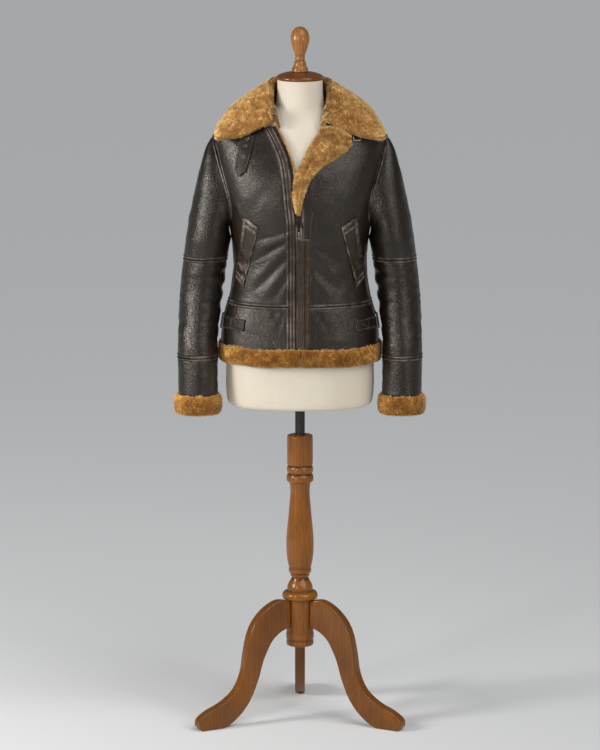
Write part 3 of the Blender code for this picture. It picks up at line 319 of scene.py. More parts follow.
GROOVE_DEPTH = 0.0020   # depth at which the painted groove shade is darkest
COLUMN_PROFILE = ((0.0235, 0.1720), (0.0318, 0.1752), (0.0324, 0.1780), (0.0324, 0.1860), (0.0310, 0.1890),
                  (0.0330, 0.1915), (0.0330, 0.2040), (0.0318, 0.2075), (0.0320, 0.2110), (0.0320, 0.2850),
                  (0.0325, 0.2868), (0.0400, 0.2878), (0.0420, 0.2900), (0.0423, 0.2945), (0.0412, 0.3010),
                  (0.0368, 0.3052), (0.0290, 0.3068), (0.0300, 0.3095), (0.0306, 0.3140), (0.0282, 0.3226),
                  (0.0235, 0.3300), (0.0198, 0.3375), (0.0197, 0.3405), (0.0228, 0.3422), (0.0228, 0.3455),
                  (0.0217, 0.3475), (0.0255, 0.3500), (0.0268, 0.3535), (0.0268, 0.3585), (0.0257, 0.3620),
                  (0.0270, 0.3670), (0.0300, 0.3780), (0.0323, 0.4025), (0.0326, 0.4270), (0.0311, 0.4510),
                  (0.0272, 0.4870), (0.0253, 0.5110), (0.0232, 0.5330), (0.0226, 0.5470), (0.0236, 0.5590),
                  (0.0254, 0.5660), (0.0262, 0.5685), (0.0312, 0.5705), (0.0320, 0.5740), (0.0320, 0.5810),
                  (0.0308, 0.5855), (0.0283, 0.5878), (0.0283, 0.5898), (0.0303, 0.5920), (0.0311, 0.5960),
                  (0.0311, 0.6020), (0.0300, 0.6058), (0.0279, 0.6075), (0.0280, 0.6092), (0.0302, 0.6105),
                  (0.0304, 0.6130), (0.0304, 0.6720), (0.0299, 0.6790), (0.0285, COLUMN_TOP))
LEG_SECTIONS = np.array([
    # top_r    top_z   low_r    low_z
    (0.0323,   0.2850, 0.0323,  0.2230),
    (0.0600,   0.2890, 0.0550,  0.2150),
    (0.0850,   0.2800, 0.0710,  0.2045),
    (0.1080,   0.2640, 0.0845,  0.1900),
    (0.1290,   0.2400, 0.0950,  0.1710),
    (0.1430,   0.2080, 0.1045,  0.1510),
    (0.1520,   0.1650, 0.1125,  0.1260),
    (0.1590,   0.1240, 0.1205,  0.1020),
    (0.1790,   0.0850, 0.1410,  0.0580),
    (0.2150,   0.0590, 0.1720,  0.0230),
    (0.2520,   0.0440, 0.2120,  0.0000),
    (0.2760,   0.0280, 0.2560,  0.0000),
    (0.2790,   0.0120, 0.2700,  0.0000),
])
LEG_THICK = 0.024
LEG_HEADINGS = {"leg_right": -150.0, "leg_left": -30.0, "leg_back": 90.0}


# ---------------------------------------------------------------- curves and the body's surface

def smooth(xs, ys, x):
    """Cubic through the points (xs, ys) that doesn't overshoot; level beyond the ends."""
    xs = np.asarray(xs, float)
    ys = np.asarray(ys, float)
    x = np.clip(np.asarray(x, float), xs[0], xs[-1])
    step = np.diff(xs)
    slope = np.diff(ys) / step
    same = slope[:-1] * slope[1:] > 0
    total = np.where(same, slope[:-1] + slope[1:], 1.0)
    tangent = np.concatenate((slope[:1], np.where(same, 2 * slope[:-1] * slope[1:] / total, 0.0), slope[-1:]))
    i = np.clip(np.searchsorted(xs, x, side="right") - 1, 0, len(step) - 1)
    t = (x - xs[i]) / step[i]
    t2, t3 = t * t, t * t * t
    return ((2 * t3 - 3 * t2 + 1) * ys[i] + (t3 - 2 * t2 + t) * step[i] * tangent[i]
            + (3 * t2 - 2 * t3) * ys[i + 1] + (t3 - t2) * step[i] * tangent[i + 1])


def column_of(table, column, at):
    return smooth(table[:, 0], table[:, column], at)


def unit(v):
    return v / np.maximum(np.linalg.norm(v, axis=-1, keepdims=True), 1e-9)


def hump(x, centre, width, power=2):
    """Soft bump of height 1 about a centre."""
    return np.exp(-((x - centre) / width) ** power)


def interpolated(at, known, values):
    """Rows of an array at the given places, from its rows at the known places."""
    columns = values.reshape(len(values), -1).T
    rows = np.stack([np.interp(at, known, column) for column in columns], axis=-1)
    return rows.reshape(*np.shape(at), *values.shape[1:])


def distance_along(line):
    return np.concatenate(([0.0], np.cumsum(np.linalg.norm(np.diff(line, axis=0), axis=1))))


def at_level(x, y, z):
    return np.stack((x, y, np.full_like(x, z)), axis=-1)


LATTICE = np.random.default_rng(7).random((4, 24, 24, 24))


def wander(points, size, layer=0):
    """Soft seeded unevenness from -1 to 1, with features of about the given size."""
    cells = np.asarray(points, float) / size + 11.0
    low = np.floor(cells).astype(int)
    t = cells - low
    t = t * t * (3 - 2 * t)
    total = np.zeros(cells.shape[:-1])
    for corner in np.ndindex(2, 2, 2):
        share = np.prod([t[..., k] if c else 1 - t[..., k] for k, c in enumerate(corner)], axis=0)
        spot = [(low[..., k] + c) % 24 for k, c in enumerate(corner)]
        total += share * LATTICE[layer][tuple(spot)]
    return total * 2 - 1


def uneven(points, waves):
    """Sum of soft unevenness with the given heights and sizes."""
    return sum(height * wander(points, size, layer) for layer, (height, size) in enumerate(waves))


def section(phi, half_width, front, back):
    """Horizontal section of the torso, at angles from +X."""
    depth = np.where(np.sin(phi) < 0, front, back)
    across, along = np.abs(np.cos(phi) / half_width), np.abs(np.sin(phi) / depth)
    reach = (across ** POWER + along ** POWER) ** (-1 / POWER)
    return reach * np.cos(phi), reach * np.sin(phi)


def torso_smooth(phi, z):
    phi, z = np.broadcast_arrays(np.asarray(phi, float), np.asarray(z, float))
    x, y = section(phi, *(column_of(TORSO, c, z) for c in (1, 2, 3)))
    return np.stack((x, y, z), axis=-1)


def slopes_normal(surface, phi, z):
    """Normals of a surface given by angle and height."""
    turn, rise = 0.006, 0.0008
    around = surface(np.asarray(phi) + turn, z) - surface(np.asarray(phi) - turn, z)
    up = surface(phi, np.asarray(z) + rise) - surface(phi, np.asarray(z) - rise)
    return unit(np.cross(around, up))


def trough(x, z, row):
    """Depth of one crease at (x, z): round across, and fading to its ends."""
    x0, z0, x1, z1, width, depth = row[1:]
    along = np.array((x1 - x0, z1 - z0))
    t = ((x - x0) * along[0] + (z - z0) * along[1]) / along.dot(along)
    held = np.clip(t, 0, 1)
    away = np.hypot(x - x0 - held * along[0], z - z0 - held * along[1])
    fade = 0.35 + 0.65 * np.sin(math.pi * np.clip(0.12 + 0.80 * held, 0, 1))
    return depth * fade * hump(away, 0, width)


def body_dent(points):
    """How far the leather of the body lies under its smooth shape."""
    x, y, z = points[..., 0], points[..., 1], points[..., 2]
    dent = np.zeros(x.shape)
    for row in CREASES:
        dent += np.where(y * row[0] > 0, trough(x, z, row), 0.0)
    return dent + uneven(points, BODY_SOFT)


def front_phi(x, z):
    """Angle of the point of the front with this x and z."""
    half_width = column_of(TORSO, 1, z)
    front = column_of(TORSO, 2, z)
    inside = np.maximum(1 - np.abs(np.asarray(x) / half_width) ** POWER, 0)
    return np.arctan2(-front * inside ** (1 / POWER), x)


def on_body(phi, z, out=0.0):
    """Points and normals of the creased leather, moved out by a given height."""
    points = torso_smooth(phi, z)
    normal = slopes_normal(torso_smooth, phi, z)
    points = points + normal * (np.asarray(out) - body_dent(points))[..., None]
    return points, normal


def on_front(x, z, out=0.0):
    x, z = np.broadcast_arrays(np.asarray(x, float), np.asarray(z, float))
    return on_body(front_phi(x, z), z, out)


# ---------------------------------------------------------------- grids and shells

# Leather near a sewn edge, by its distance from it: it turns under, then puffs, then dips at the stitches.
EDGE_STEPS = np.array((0.0, 0.0004, 0.0009, 0.0016, 0.0025, 0.0035, 0.0045, 0.0055, 0.0064, 0.0073, 0.0085,
                       0.0105, 0.0135))
EDGE_TURN = 0.0020
EDGE_ROUND = 0.85       # share of the turned-under edge that shows as a drop
PUFF, PUFF_AT, PUFF_WIDTH = 0.0015, 0.0036, 0.0017
STITCH_DIP, STITCH_AT, STITCH_WIDTH = 0.0008, 0.0064, 0.0010
# where the leather beside a seam is paler, on its puff: wear, and painted highlight on the ridge
WEAR_HIGHLIGHT_AT, WEAR_HIGHLIGHT_WIDTH = 0.0034, 0.0020


def edge_height(distance, share):
    """Height of the leather at a distance from a sewn edge."""
    turned = np.clip(1 - distance / EDGE_TURN, 0, 1)
    drop = EDGE_TURN * (1 - np.sqrt(1 - turned ** 2)) * EDGE_ROUND
    ridge = PUFF * hump(distance, PUFF_AT, PUFF_WIDTH)
    valley = STITCH_DIP * hump(distance, STITCH_AT, STITCH_WIDTH)
    return share * ridge - drop - share * valley


def spread(length, high_edge=True, step=GRID):
    """Distances along a stretch of cloth, close together near its sewn edges."""
    margin = EDGE_STEPS[-1]
    first = EDGE_STEPS
    last = length - (EDGE_STEPS[::-1] if high_edge else np.array((step, 0.0)))
    if length < 2.2 * margin:
        return np.linspace(0, length, max(int(length / 0.0014), 4))
    inner = np.linspace(first[-1], last[0], max(int((last[0] - first[-1]) / step), 2) + 1)[1:-1]
    return np.concatenate((first, inner, last))


def lengths(grid, axis):
    """Mean distance along a grid's rows or columns, from 0."""
    steps = np.linalg.norm(np.diff(grid, axis=axis), axis=-1).mean(axis=1 - axis)
    return np.concatenate(([0.0], np.cumsum(steps)))


def resample(grid, count, axis=0):
    """A finer grid by a smooth curve through its rows or columns."""
    grid = np.moveaxis(grid, axis, 0)
    at = np.linspace(0, len(grid) - 1, count)
    i = np.clip(at.astype(int), 0, len(grid) - 2)
    t = (at - i).reshape(-1, *([1] * (grid.ndim - 1)))
    p0, p1 = grid[np.maximum(i - 1, 0)], grid[i]
    p2, p3 = grid[i + 1], grid[np.minimum(i + 2, len(grid) - 1)]
    fine = 0.5 * (2 * p1 + (p2 - p0) * t + (2 * p0 - 5 * p1 + 4 * p2 - p3) * t ** 2
                  + (3 * p1 - p0 - 3 * p2 + p3) * t ** 3)
    return np.moveaxis(fine, 0, axis)


def grid_normal(grid, closed=False):
    down = np.gradient(grid, axis=0)
    around = np.roll(grid, -1, 1) - np.roll(grid, 1, 1) if closed else np.gradient(grid, axis=1)
    return unit(np.cross(down, around))


def link_new(name, data):
    ob = bpy.data.objects.new(name, data)
    bpy.context.scene.collection.objects.link(ob)
    return ob


def add_value(mesh, key, numbers):
    mesh.attributes.new(key, "FLOAT", "POINT").data.foreach_set("value", np.asarray(numbers, np.float32))


def make_object(name, points, faces, materials, slots=None, values=None):
    """Mesh object at the origin, from points drawn round the column's axis."""
    mesh = bpy.data.meshes.new(name)
    mesh.from_pydata((np.asarray(points, float) + np.array(AXIS)).tolist(), [], faces)
    for material in materials:
        mesh.materials.append(material)
    if slots is not None:
        mesh.polygons.foreach_set("material_index", np.asarray(slots, np.int32))
    for key, numbers in (values or {}).items():
        add_value(mesh, key, numbers)
    mesh.shade_smooth()
    return link_new(name, mesh)


def point_outward(ob):
    bm = bmesh.new()
    bm.from_mesh(ob.data)
    bmesh.ops.recalc_face_normals(bm, faces=bm.faces)
    bm.to_mesh(ob.data)
    bm.free()


def place(ob, slot, *nodes, body=BODY):
    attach(ob, body)
    if nodes:
        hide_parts(*nodes)
    return ob


def quads(rows, cols, closed, start=0, flip=False):
    """Faces of a grid of points, row by row."""
    r, c = np.meshgrid(np.arange(rows - 1), np.arange(cols if closed else cols - 1), indexing="ij")
    d = (c + 1) % cols
    loops = np.stack((r * cols + c, r * cols + d, (r + 1) * cols + d, (r + 1) * cols + c), axis=-1) + start
    loops = loops.reshape(-1, 4)
    return (loops[:, ::-1] if flip else loops).tolist()


def shell(name, outer, normal, thickness, materials, closed=False, worn_and_lit=None, turned_in=0):
    """Closed thin shell: an outer skin, an inner skin moved in by the thickness, and rims.

    The first material runs on over the inner skin in the given number of rows at each end.
    """
    inner = outer - normal * (np.zeros(outer.shape[:2]) + thickness)[..., None]
    rows, cols = outer.shape[:2]
    count = rows * cols
    facing = np.cross(np.diff(outer, axis=0)[:, :1], outer[:-1, 1:2] - outer[:-1, :1])
    out_first = float((facing * normal[:-1, :1]).sum()) < 0
    faces = quads(rows, cols, closed, 0, flip=not out_first)
    faces += quads(rows, cols, closed, count, flip=out_first)
    skins = len(faces)
    last = cols if closed else cols - 1
    for row, turned in ((0, out_first), (rows - 1, not out_first)):
        for c in range(last):
            a, b = row * cols + c, row * cols + (c + 1) % cols
            loop = (a, a + count, b + count, b)
            faces.append(loop if turned else loop[::-1])
    if not closed:
        for col, turned in ((0, not out_first), (cols - 1, out_first)):
            for r in range(rows - 1):
                a, b = r * cols + col, (r + 1) * cols + col
                loop = (a, a + count, b + count, b)
                faces.append(loop if turned else loop[::-1])
    slots = np.zeros(len(faces), int)
    if len(materials) > 1:
        row_faces = skins // 2 // (rows - 1)
        slots[skins // 2 + turned_in * row_faces:skins - turned_in * row_faces] = 1
    # the paler marks of wear and painted highlight, kept as an attribute
    wear_and_highlight = np.zeros(count) if worn_and_lit is None else worn_and_lit.ravel()
    points = np.concatenate((outer.reshape(-1, 3), inner.reshape(-1, 3)))
    return make_object(name, points, faces, materials, slots, {"wear_and_highlight": np.concatenate((wear_and_highlight, wear_and_highlight))})


def mirrored(grid, side):
    return grid * np.array((side, 1.0, 1.0))


# ---------------------------------------------------------------- shared shader groups

class Group:
    """A shader node group with named inputs and outputs, filled node by node."""

    def __init__(self, name, inputs, outputs):
        self.tree = bpy.data.node_groups.new(name, "ShaderNodeTree")
        for key, kind, value in inputs:
            socket = self.tree.interface.new_socket(key, in_out="INPUT", socket_type=kind)
            if value is not None:
                socket.default_value = value
        for key, kind in outputs:
            self.tree.interface.new_socket(key, in_out="OUTPUT", socket_type=kind)
        self.input = self.tree.nodes.new("NodeGroupInput").outputs
        self.output = self.tree.nodes.new("NodeGroupOutput").inputs

    def add(self, kind, settings=None, **links):
        return add_node(self.tree, kind, settings, **links)

    def link(self, source, target):
        self.tree.links.new(source, target)


def add_node(tree, kind, settings=None, **links):
    """Add a node; links give each input by its name, with _ for a space, as a socket or a value."""
    node = tree.nodes.new("ShaderNode" + kind)
    for key, value in (settings or {}).items():
        setattr(node, key, value)
    for key, value in links.items():
        index = int(key[1:]) if key[0] == "i" and key[1:].isdigit() else key.replace("_", " ")
        socket = node.inputs[index]
        if isinstance(value, bpy.types.NodeSocket):
            tree.links.new(value, socket)
        else:
            socket.default_value = value
    return node


def mix_colours(tree, factor, a, b, blend="MIX"):
    node = tree.nodes.new("ShaderNodeMix")
    node.data_type = "RGBA"
    node.blend_type = blend
    sockets = {s.identifier: s for s in node.inputs}
    for key, value in (("Factor_Float", factor), ("A_Color", a), ("B_Color", b)):
        if isinstance(value, bpy.types.NodeSocket):
            tree.links.new(value, sockets[key])
        else:
            sockets[key].default_value = value
    return next(s for s in node.outputs if s.identifier == "Result_Color")


def math_node(tree, operation, a, b):
    return add_node(tree, "Math", {"operation": operation}, i0=a, i1=b).outputs[0]


def ramped(tree, value, low, high, to_low=0.0, to_high=1.0):
    """A value stretched from one range to another, and kept within it."""
    node = add_node(tree, "MapRange", None, Value=value, From_Min=low, From_Max=high,
                    To_Min=to_low, To_Max=to_high)
    return node.outputs["Result"]


def attribute(tree, key):
    return add_node(tree, "Attribute", {"attribute_name": key}).outputs["Fac"]


def noise(tree, where, scale, detail, roughness=0.5):
    node = add_node(tree, "TexNoise", None, Vector=where, Scale=scale, Detail=detail, Roughness=roughness)
    return node.outputs["Fac"]


def object_place(tree):
    return add_node(tree, "TexCoord").outputs["Object"]


def make_grain():
    """Pebbled leather: height of the pebbles, creases and soft dimples, and a patchy mask."""
    g = Group("leather_grain", (("Vector", "NodeSocketVector", None),),
              (("Height", "NodeSocketFloat"), ("Patches", "NodeSocketFloat")))
    where = g.input["Vector"]
    bent = g.add("TexNoise", None, Vector=where, Scale=150.0, Detail=2.0)
    shifted = g.add("VectorMath", {"operation": "MULTIPLY_ADD"}, i0=bent.outputs["Color"],
                    i1=(0.0022, 0.0022, 0.0022), i2=where)
    pebbles = g.add("TexVoronoi", {"feature": "SMOOTH_F1"}, Vector=shifted.outputs[0], Scale=360.0,
                    Smoothness=0.5)
    folds = g.add("TexVoronoi", {"feature": "DISTANCE_TO_EDGE"}, Vector=shifted.outputs[0], Scale=125.0)
    dimples = noise(g.tree, where, 185.0, 3.0, 0.65)
    dome = ramped(g.tree, pebbles.outputs["Distance"], 0.0, 0.75, 1.0, 0.0)
    crack = ramped(g.tree, folds.outputs["Distance"], 0.0, 0.09, 0.0, 1.0)
    raised = math_node(g.tree, "MULTIPLY_ADD", dome, 0.60)
    g.link(math_node(g.tree, "MULTIPLY", crack, 0.35), raised.node.inputs[2])
    height = math_node(g.tree, "MULTIPLY_ADD", dimples, 2.2)
    g.link(raised, height.node.inputs[2])
    g.link(height, g.output["Height"])
    g.link(ramped(g.tree, noise(g.tree, where, 30.0, 6.0, 0.7), 0.34, 0.68), g.output["Patches"])
    return g.tree


def make_pile():
    """Wool along its length: colour from a dark root to a pale tip, changed lock by lock and patch by patch.
    The dark roots are partly the wool's own colour and partly painted shade deep in the pile.
    """
    black = (0, 0, 0, 1)
    g = Group("wool_pile", [(key, "NodeSocketColor", black) for key in ("Root", "Middle", "Tip")],
              (("Color", "NodeSocketColor"),))
    along = attribute(g.tree, "along")
    patch = noise(g.tree, object_place(g.tree), 44.0, 3.0, 0.6)
    lower = mix_colours(g.tree, ramped(g.tree, along, 0.0, 0.55), g.input["Root"], g.input["Middle"])
    whole = mix_colours(g.tree, ramped(g.tree, along, 0.45, 1.0), lower, g.input["Tip"])
    lock = ramped(g.tree, attribute(g.tree, "tone"), 0.0, 1.0, 0.30, 1.75)
    cloud = ramped(g.tree, patch, 0.32, 0.68, 0.76, 1.20)
    strength = math_node(g.tree, "MULTIPLY", lock, cloud)
    green, blue = (math_node(g.tree, "POWER", strength, power) for power in (1.22, 1.50))
    dyed = g.add("CombineColor", None, Red=strength, Green=green, Blue=blue).outputs["Color"]
    g.link(mix_colours(g.tree, 1.0, whole, dyed, "MULTIPLY"), g.output["Color"])
    return g.tree


def make_wood_figure():
    """Stained wood: long fibres, growth rings and cloudy staining."""
    g = Group("wood_figure", (("Vector", "NodeSocketVector", None), ("Dark", "NodeSocketColor", (0, 0, 0, 1)),
                              ("Light", "NodeSocketColor", (0, 0, 0, 1))),
              (("Color", "NodeSocketColor"), ("Height", "NodeSocketFloat")))
    drawn = g.add("VectorMath", {"operation": "MULTIPLY"}, i0=g.input["Vector"],
                  i1=(1.0, 1.0, 0.10)).outputs[0]
    fibre = noise(g.tree, drawn, 420.0, 4.0, 0.7)
    rings = g.add("TexWave", {"bands_direction": "X"}, Vector=drawn, Scale=42.0, Distortion=6.0, Detail=3.0,
                  Detail_Scale=3.0).outputs["Fac"]
    cloud = noise(g.tree, g.input["Vector"], 11.0, 3.0)
    share = math_node(g.tree, "MULTIPLY_ADD", fibre, 0.62)
    g.link(math_node(g.tree, "MULTIPLY", rings, 0.20), share.node.inputs[2])
    both = math_node(g.tree, "ADD", share, ramped(g.tree, cloud, 0.3, 0.7, -0.14, 0.20))
    g.link(mix_colours(g.tree, both, g.input["Dark"], g.input["Light"]), g.output["Color"])
    g.link(fibre, g.output["Height"])
    return g.tree


GRAIN = make_grain()
PILE = make_pile()
FIGURE = make_wood_figure()


# ---------------------------------------------------------------- materials

def new_material(name, roughness, **shader_values):
    material = bpy.data.materials.new(name)
    material.use_nodes = True
    tree = material.node_tree
    shader = tree.nodes["Principled BSDF"]
    shader.inputs["Roughness"].default_value = roughness
    for key, value in shader_values.items():
        shader.inputs[key.replace("_", " ")].default_value = value
    return material, tree, shader


def group_node(tree, group):
    node = tree.nodes.new("ShaderNodeGroup")
    node.node_tree = group
    return node


def bump(tree, shader, height, strength, distance):
    node = add_node(tree, "Bump", None, Strength=strength, Distance=distance, Height=height)
    tree.links.new(node.outputs["Normal"], shader.inputs["Normal"])


GRAIN_DEPTH = 0.00050


def leather(name, dark, light, worn_and_lit, roughness=(0.26, 0.40), shine=0.50):
    """Leather from dark to light in patches, paler where the "wear_and_highlight" attribute says so: wear, and
    painted highlight along the seams.
    """
    material, tree, shader = new_material(name, roughness[0])
    shader.inputs["Specular IOR Level"].default_value = shine
    shader.inputs["Specular Tint"].default_value = (1.0, 0.94, 0.87, 1)
    grain = group_node(tree, GRAIN)
    tree.links.new(object_place(tree), grain.inputs["Vector"])
    patches, height = grain.outputs["Patches"], grain.outputs["Height"]
    body = mix_colours(tree, patches, (*dark, 1), (*light, 1))
    # paler in patches where worn and where a painted highlight lies on the seams
    rubbed_and_lit = math_node(tree, "MULTIPLY", attribute(tree, "wear_and_highlight"), ramped(tree, patches, 0.30, 0.90, 0.06, 1.0))
    tree.links.new(mix_colours(tree, rubbed_and_lit, body, (*worn_and_lit, 1)), shader.inputs["Base Color"])
    tree.links.new(ramped(tree, patches, 0.0, 1.0, roughness[1], roughness[0]), shader.inputs["Roughness"])
    bump(tree, shader, height, 0.8, GRAIN_DEPTH)
    return material


def wool(name, root, mid, tip):
    material, tree, shader = new_material(name, 0.85, Sheen_Weight=0.35, Sheen_Roughness=0.50,
                                          Sheen_Tint=(1.0, 0.84, 0.58, 1.0))
    shader.inputs["Specular IOR Level"].default_value = 0.20
    pile = group_node(tree, PILE)
    for key, colour in (("Root", root), ("Middle", mid), ("Tip", tip)):
        pile.inputs[key].default_value = (*colour, 1)
    tree.links.new(pile.outputs["Color"], shader.inputs["Base Color"])
    return material


def wood(name, dark, light, roughness):
    """Stained and varnished wood, darker where the "groove_shade" attribute says so: painted shade in the
    turned grooves.
    """
    material, tree, shader = new_material(name, roughness, Coat_Weight=0.45, Coat_Roughness=0.12)
    shader.inputs["Specular IOR Level"].default_value = 0.22
    figure = group_node(tree, FIGURE)
    tree.links.new(object_place(tree), figure.inputs["Vector"])
    figure.inputs["Dark"].default_value = (*dark, 1)
    figure.inputs["Light"].default_value = (*light, 1)
    # painted shade: a darker colour in the turned grooves
    groove_shade_colour = tuple(c * 0.45 for c in dark)
    groove_shaded = mix_colours(tree, attribute(tree, "groove_shade"), figure.outputs["Color"], (*groove_shade_colour, 1))
    tree.links.new(groove_shaded, shader.inputs["Base Color"])
    bump(tree, shader, figure.outputs["Height"], 0.25, 0.0003)
    return material


def metal(name, dark, light, roughness):
    """Metal with a spotty tarnish."""
    material, tree, shader = new_material(name, roughness, Metallic=1.0)
    tarnish = noise(tree, object_place(tree), 260.0, 4.0)
    mask = ramped(tree, tarnish, 0.35, 0.65)
    tree.links.new(mix_colours(tree, mask, (*dark, 1), (*light, 1)), shader.inputs["Base Color"])
    tree.links.new(ramped(tree, mask, 0.0, 1.0, roughness + 0.14, roughness), shader.inputs["Roughness"])
    bump(tree, shader, tarnish, 0.2, 0.0001)
    return material


def cotton(name, light, dark):
    """Plain woven cotton stretched over the form."""
    material, tree, shader = new_material(name, 0.78, Sheen_Weight=0.12)
    where = object_place(tree)
    threads = []
    for direction in ("X", "Z"):
        threads.append(add_node(tree, "TexWave", {"bands_direction": direction}, Vector=where, Scale=560.0,
                                Distortion=1.2, Detail=1.0).outputs["Fac"])
    weave = math_node(tree, "MAXIMUM", *threads)
    mask = ramped(tree, noise(tree, where, 7.0, 4.0), 0.38, 0.72, 0.0, 0.8)
    tree.links.new(mix_colours(tree, mask, (*light, 1), (*dark, 1)), shader.inputs["Base Color"])
    bump(tree, shader, weave, 0.18, 0.0002)
    return material


def thread(name, colour):
    material, tree, shader = new_material(name, 0.6)
    twist = add_node(tree, "TexWave", {"bands_direction": "DIAGONAL"}, Vector=object_place(tree),
                     Scale=900.0).outputs["Fac"]
    darker = tuple(c * 0.6 for c in colour)
    tree.links.new(mix_colours(tree, twist, (*darker, 1), (*colour, 1)), shader.inputs["Base Color"])
    return material


# The third colour of a leather is where it is paler: wear, and painted highlight on seams and edges.
LEATHER = leather("dark_leather", (0.0040, 0.0024, 0.0015), (0.0170, 0.0106, 0.0070), (0.165, 0.130, 0.105))
BROWN_LEATHER = leather("brown_leather", (0.0130, 0.0062, 0.0030), (0.0400, 0.0210, 0.0110),
                        (0.190, 0.150, 0.122), (0.42, 0.56), shine=0.40)
WELT_LEATHER = leather("welt_leather", (0.0080, 0.0044, 0.0026), (0.0270, 0.0160, 0.0098),
                       (0.360, 0.290, 0.230), (0.28, 0.42))
# a darker copy of the body's leather for the straps: painted shade
SHADED_STRAP_LEATHER = leather("shaded_strap_leather", (0.0050, 0.0028, 0.0017), (0.0150, 0.0090, 0.0058),
                        (0.110, 0.082, 0.062), (0.38, 0.50), shine=0.32)
WOOL_GOLD = wool("gold_wool", (0.150, 0.058, 0.0090), (0.430, 0.208, 0.0480), (0.850, 0.560, 0.2300))
WOOL_BROWN = wool("brown_wool", (0.090, 0.030, 0.0045), (0.310, 0.125, 0.0200), (0.700, 0.370, 0.0950))
WOOL_SHORT = wool("short_wool", (0.050, 0.018, 0.0030), (0.150, 0.060, 0.0110), (0.220, 0.100, 0.0220))
COTTON = cotton("cream_cotton", (0.655, 0.598, 0.498), (0.610, 0.528, 0.412))
WOOD = wood("stained_wood", (0.090, 0.024, 0.0007), (0.345, 0.118, 0.0040), 0.40)
WOOD_LEGS = wood("leg_stained_wood", (0.060, 0.016, 0.0005), (0.265, 0.087, 0.0030), 0.40)
WOOD_PALE = wood("pale_stained_wood", (0.150, 0.045, 0.0040), (0.520, 0.230, 0.0560), 0.42)
WOOD_DARK = wood("dark_stained_wood", (0.075, 0.020, 0.0030), (0.260, 0.084, 0.0110), 0.30)
STEEL = metal("blackened_steel", (0.045, 0.043, 0.039), (0.072, 0.069, 0.061), 0.17)
NICKEL = metal("antique_nickel", (0.120, 0.105, 0.085), (0.340, 0.315, 0.270), 0.30)
ZIP_METAL = metal("oxidised_zip_metal", (0.010, 0.008, 0.006), (0.060, 0.048, 0.038), 0.34)
ZIP_CLOTH = leather("zip_tape_cloth", (0.010, 0.008, 0.007), (0.018, 0.014, 0.012), (0.02, 0.015, 0.013),
                    (0.8, 0.9))
# a near-black sheet for the eyelets' holes: painted shade
HOLE_SHADE = leather("painted_hole_shade", (0.0010, 0.0008, 0.0006), (0.0020, 0.0015, 0.0012), (0.002, 0.0015, 0.0012),
                 (0.8, 0.9), shine=0.05)
PALE_THREAD = thread("pale_thread", (0.200, 0.155, 0.122))
THREAD = thread("dark_thread", (0.046, 0.034, 0.027))


# ---------------------------------------------------------------- leather panels

def armhole_phi(psi):
    """Torso angles and heights of the left armhole's points."""
    half = (SHOULDER_Z - ARMPIT_Z) / 2
    z = (SHOULDER_Z + ARMPIT_Z) / 2 + half * np.sin(psi)
    lean = np.cos(psi)
    y = -np.where(lean > 0, ARMHOLE_FRONT - ARMHOLE_HOLLOW * np.sin(psi), ARMHOLE_BACK) * lean
    depth = np.where(y < 0, column_of(TORSO, 2, z), column_of(TORSO, 3, z))
    x = column_of(TORSO, 1, z) * np.maximum(1 - np.abs(y / depth) ** POWER, 0) ** (1 / POWER)
    return np.arctan2(np.where(np.abs(y) < 1e-9, 0.0, y), x), z


def side_rows(face):
    """Angle and height of a front's or half back's side edge: side seam, armhole, shoulder."""
    seam_z = np.linspace(WAIST_Z, ARMPIT_Z, 40)[:-1]
    psi = np.linspace(-math.pi / 2, math.pi / 2, 70)
    arm_phi, arm_z = armhole_phi(psi if face < 0 else -math.pi - psi)
    slope = np.linspace(0, 1, 18)[1:]
    phi = np.concatenate((np.zeros(len(seam_z)), arm_phi, np.zeros(len(slope))))
    z = np.concatenate((seam_z, arm_z, np.full(len(slope), SHOULDER_Z)))
    share = np.concatenate((np.zeros(len(seam_z) + len(arm_z)), slope))
    return phi, z, share


def upper_grid(face, side, inner_edge, cols):
    """Angles and heights of a front (face -1) or half back (face 1), from its side to its inner edge."""
    start, level, slope = side_rows(face)
    share = np.asarray(cols)
    drop = NECK_DROP * share ** 1.5 if face < 0 else np.zeros(len(share))
    z = level[:, None] + slope[:, None] * (NECK_Z - drop - SHOULDER_Z)
    end = inner_edge(z[:, -1])
    phi = start[:, None] + (end - start)[:, None] * share
    return (math.pi - phi if side < 0 else phi), z


def edge_angle(column, side=1):
    return lambda z: front_phi(side * column_of(FRONT_EDGES, column, z), z)


def upright(angle):
    return lambda z: np.full(len(z), angle)


def fitted(phi, z):
    """Rows of a panel spaced out evenly by distance, with close rows at its sewn edges."""
    grid = torso_smooth(phi, z)
    down = lengths(grid, 0)
    want = spread(down[-1])
    return interpolated(want, down, phi), interpolated(want, down, z)


def edge_distances(grid):
    """Distance of each point from the four edges of a grid: first row, last row, first and last column."""
    down = np.linalg.norm(np.diff(grid, axis=0), axis=-1)
    across = np.linalg.norm(np.diff(grid, axis=1), axis=-1)
    zero_row, zero_col = np.zeros((1, grid.shape[1])), np.zeros((grid.shape[0], 1))
    from_top = np.concatenate((zero_row, np.cumsum(down, 0)))
    from_left = np.concatenate((zero_col, np.cumsum(across, 1)), axis=1)
    return from_top, from_top[-1:] - from_top, from_left, from_left[:, -1:] - from_left


# how much paler the leather is beside its sewn edges: wear, and painted highlight
def wear_and_highlight_of(distances):
    nearest = np.minimum.reduce(distances)
    return hump(nearest, WEAR_HIGHLIGHT_AT, WEAR_HIGHLIGHT_WIDTH)


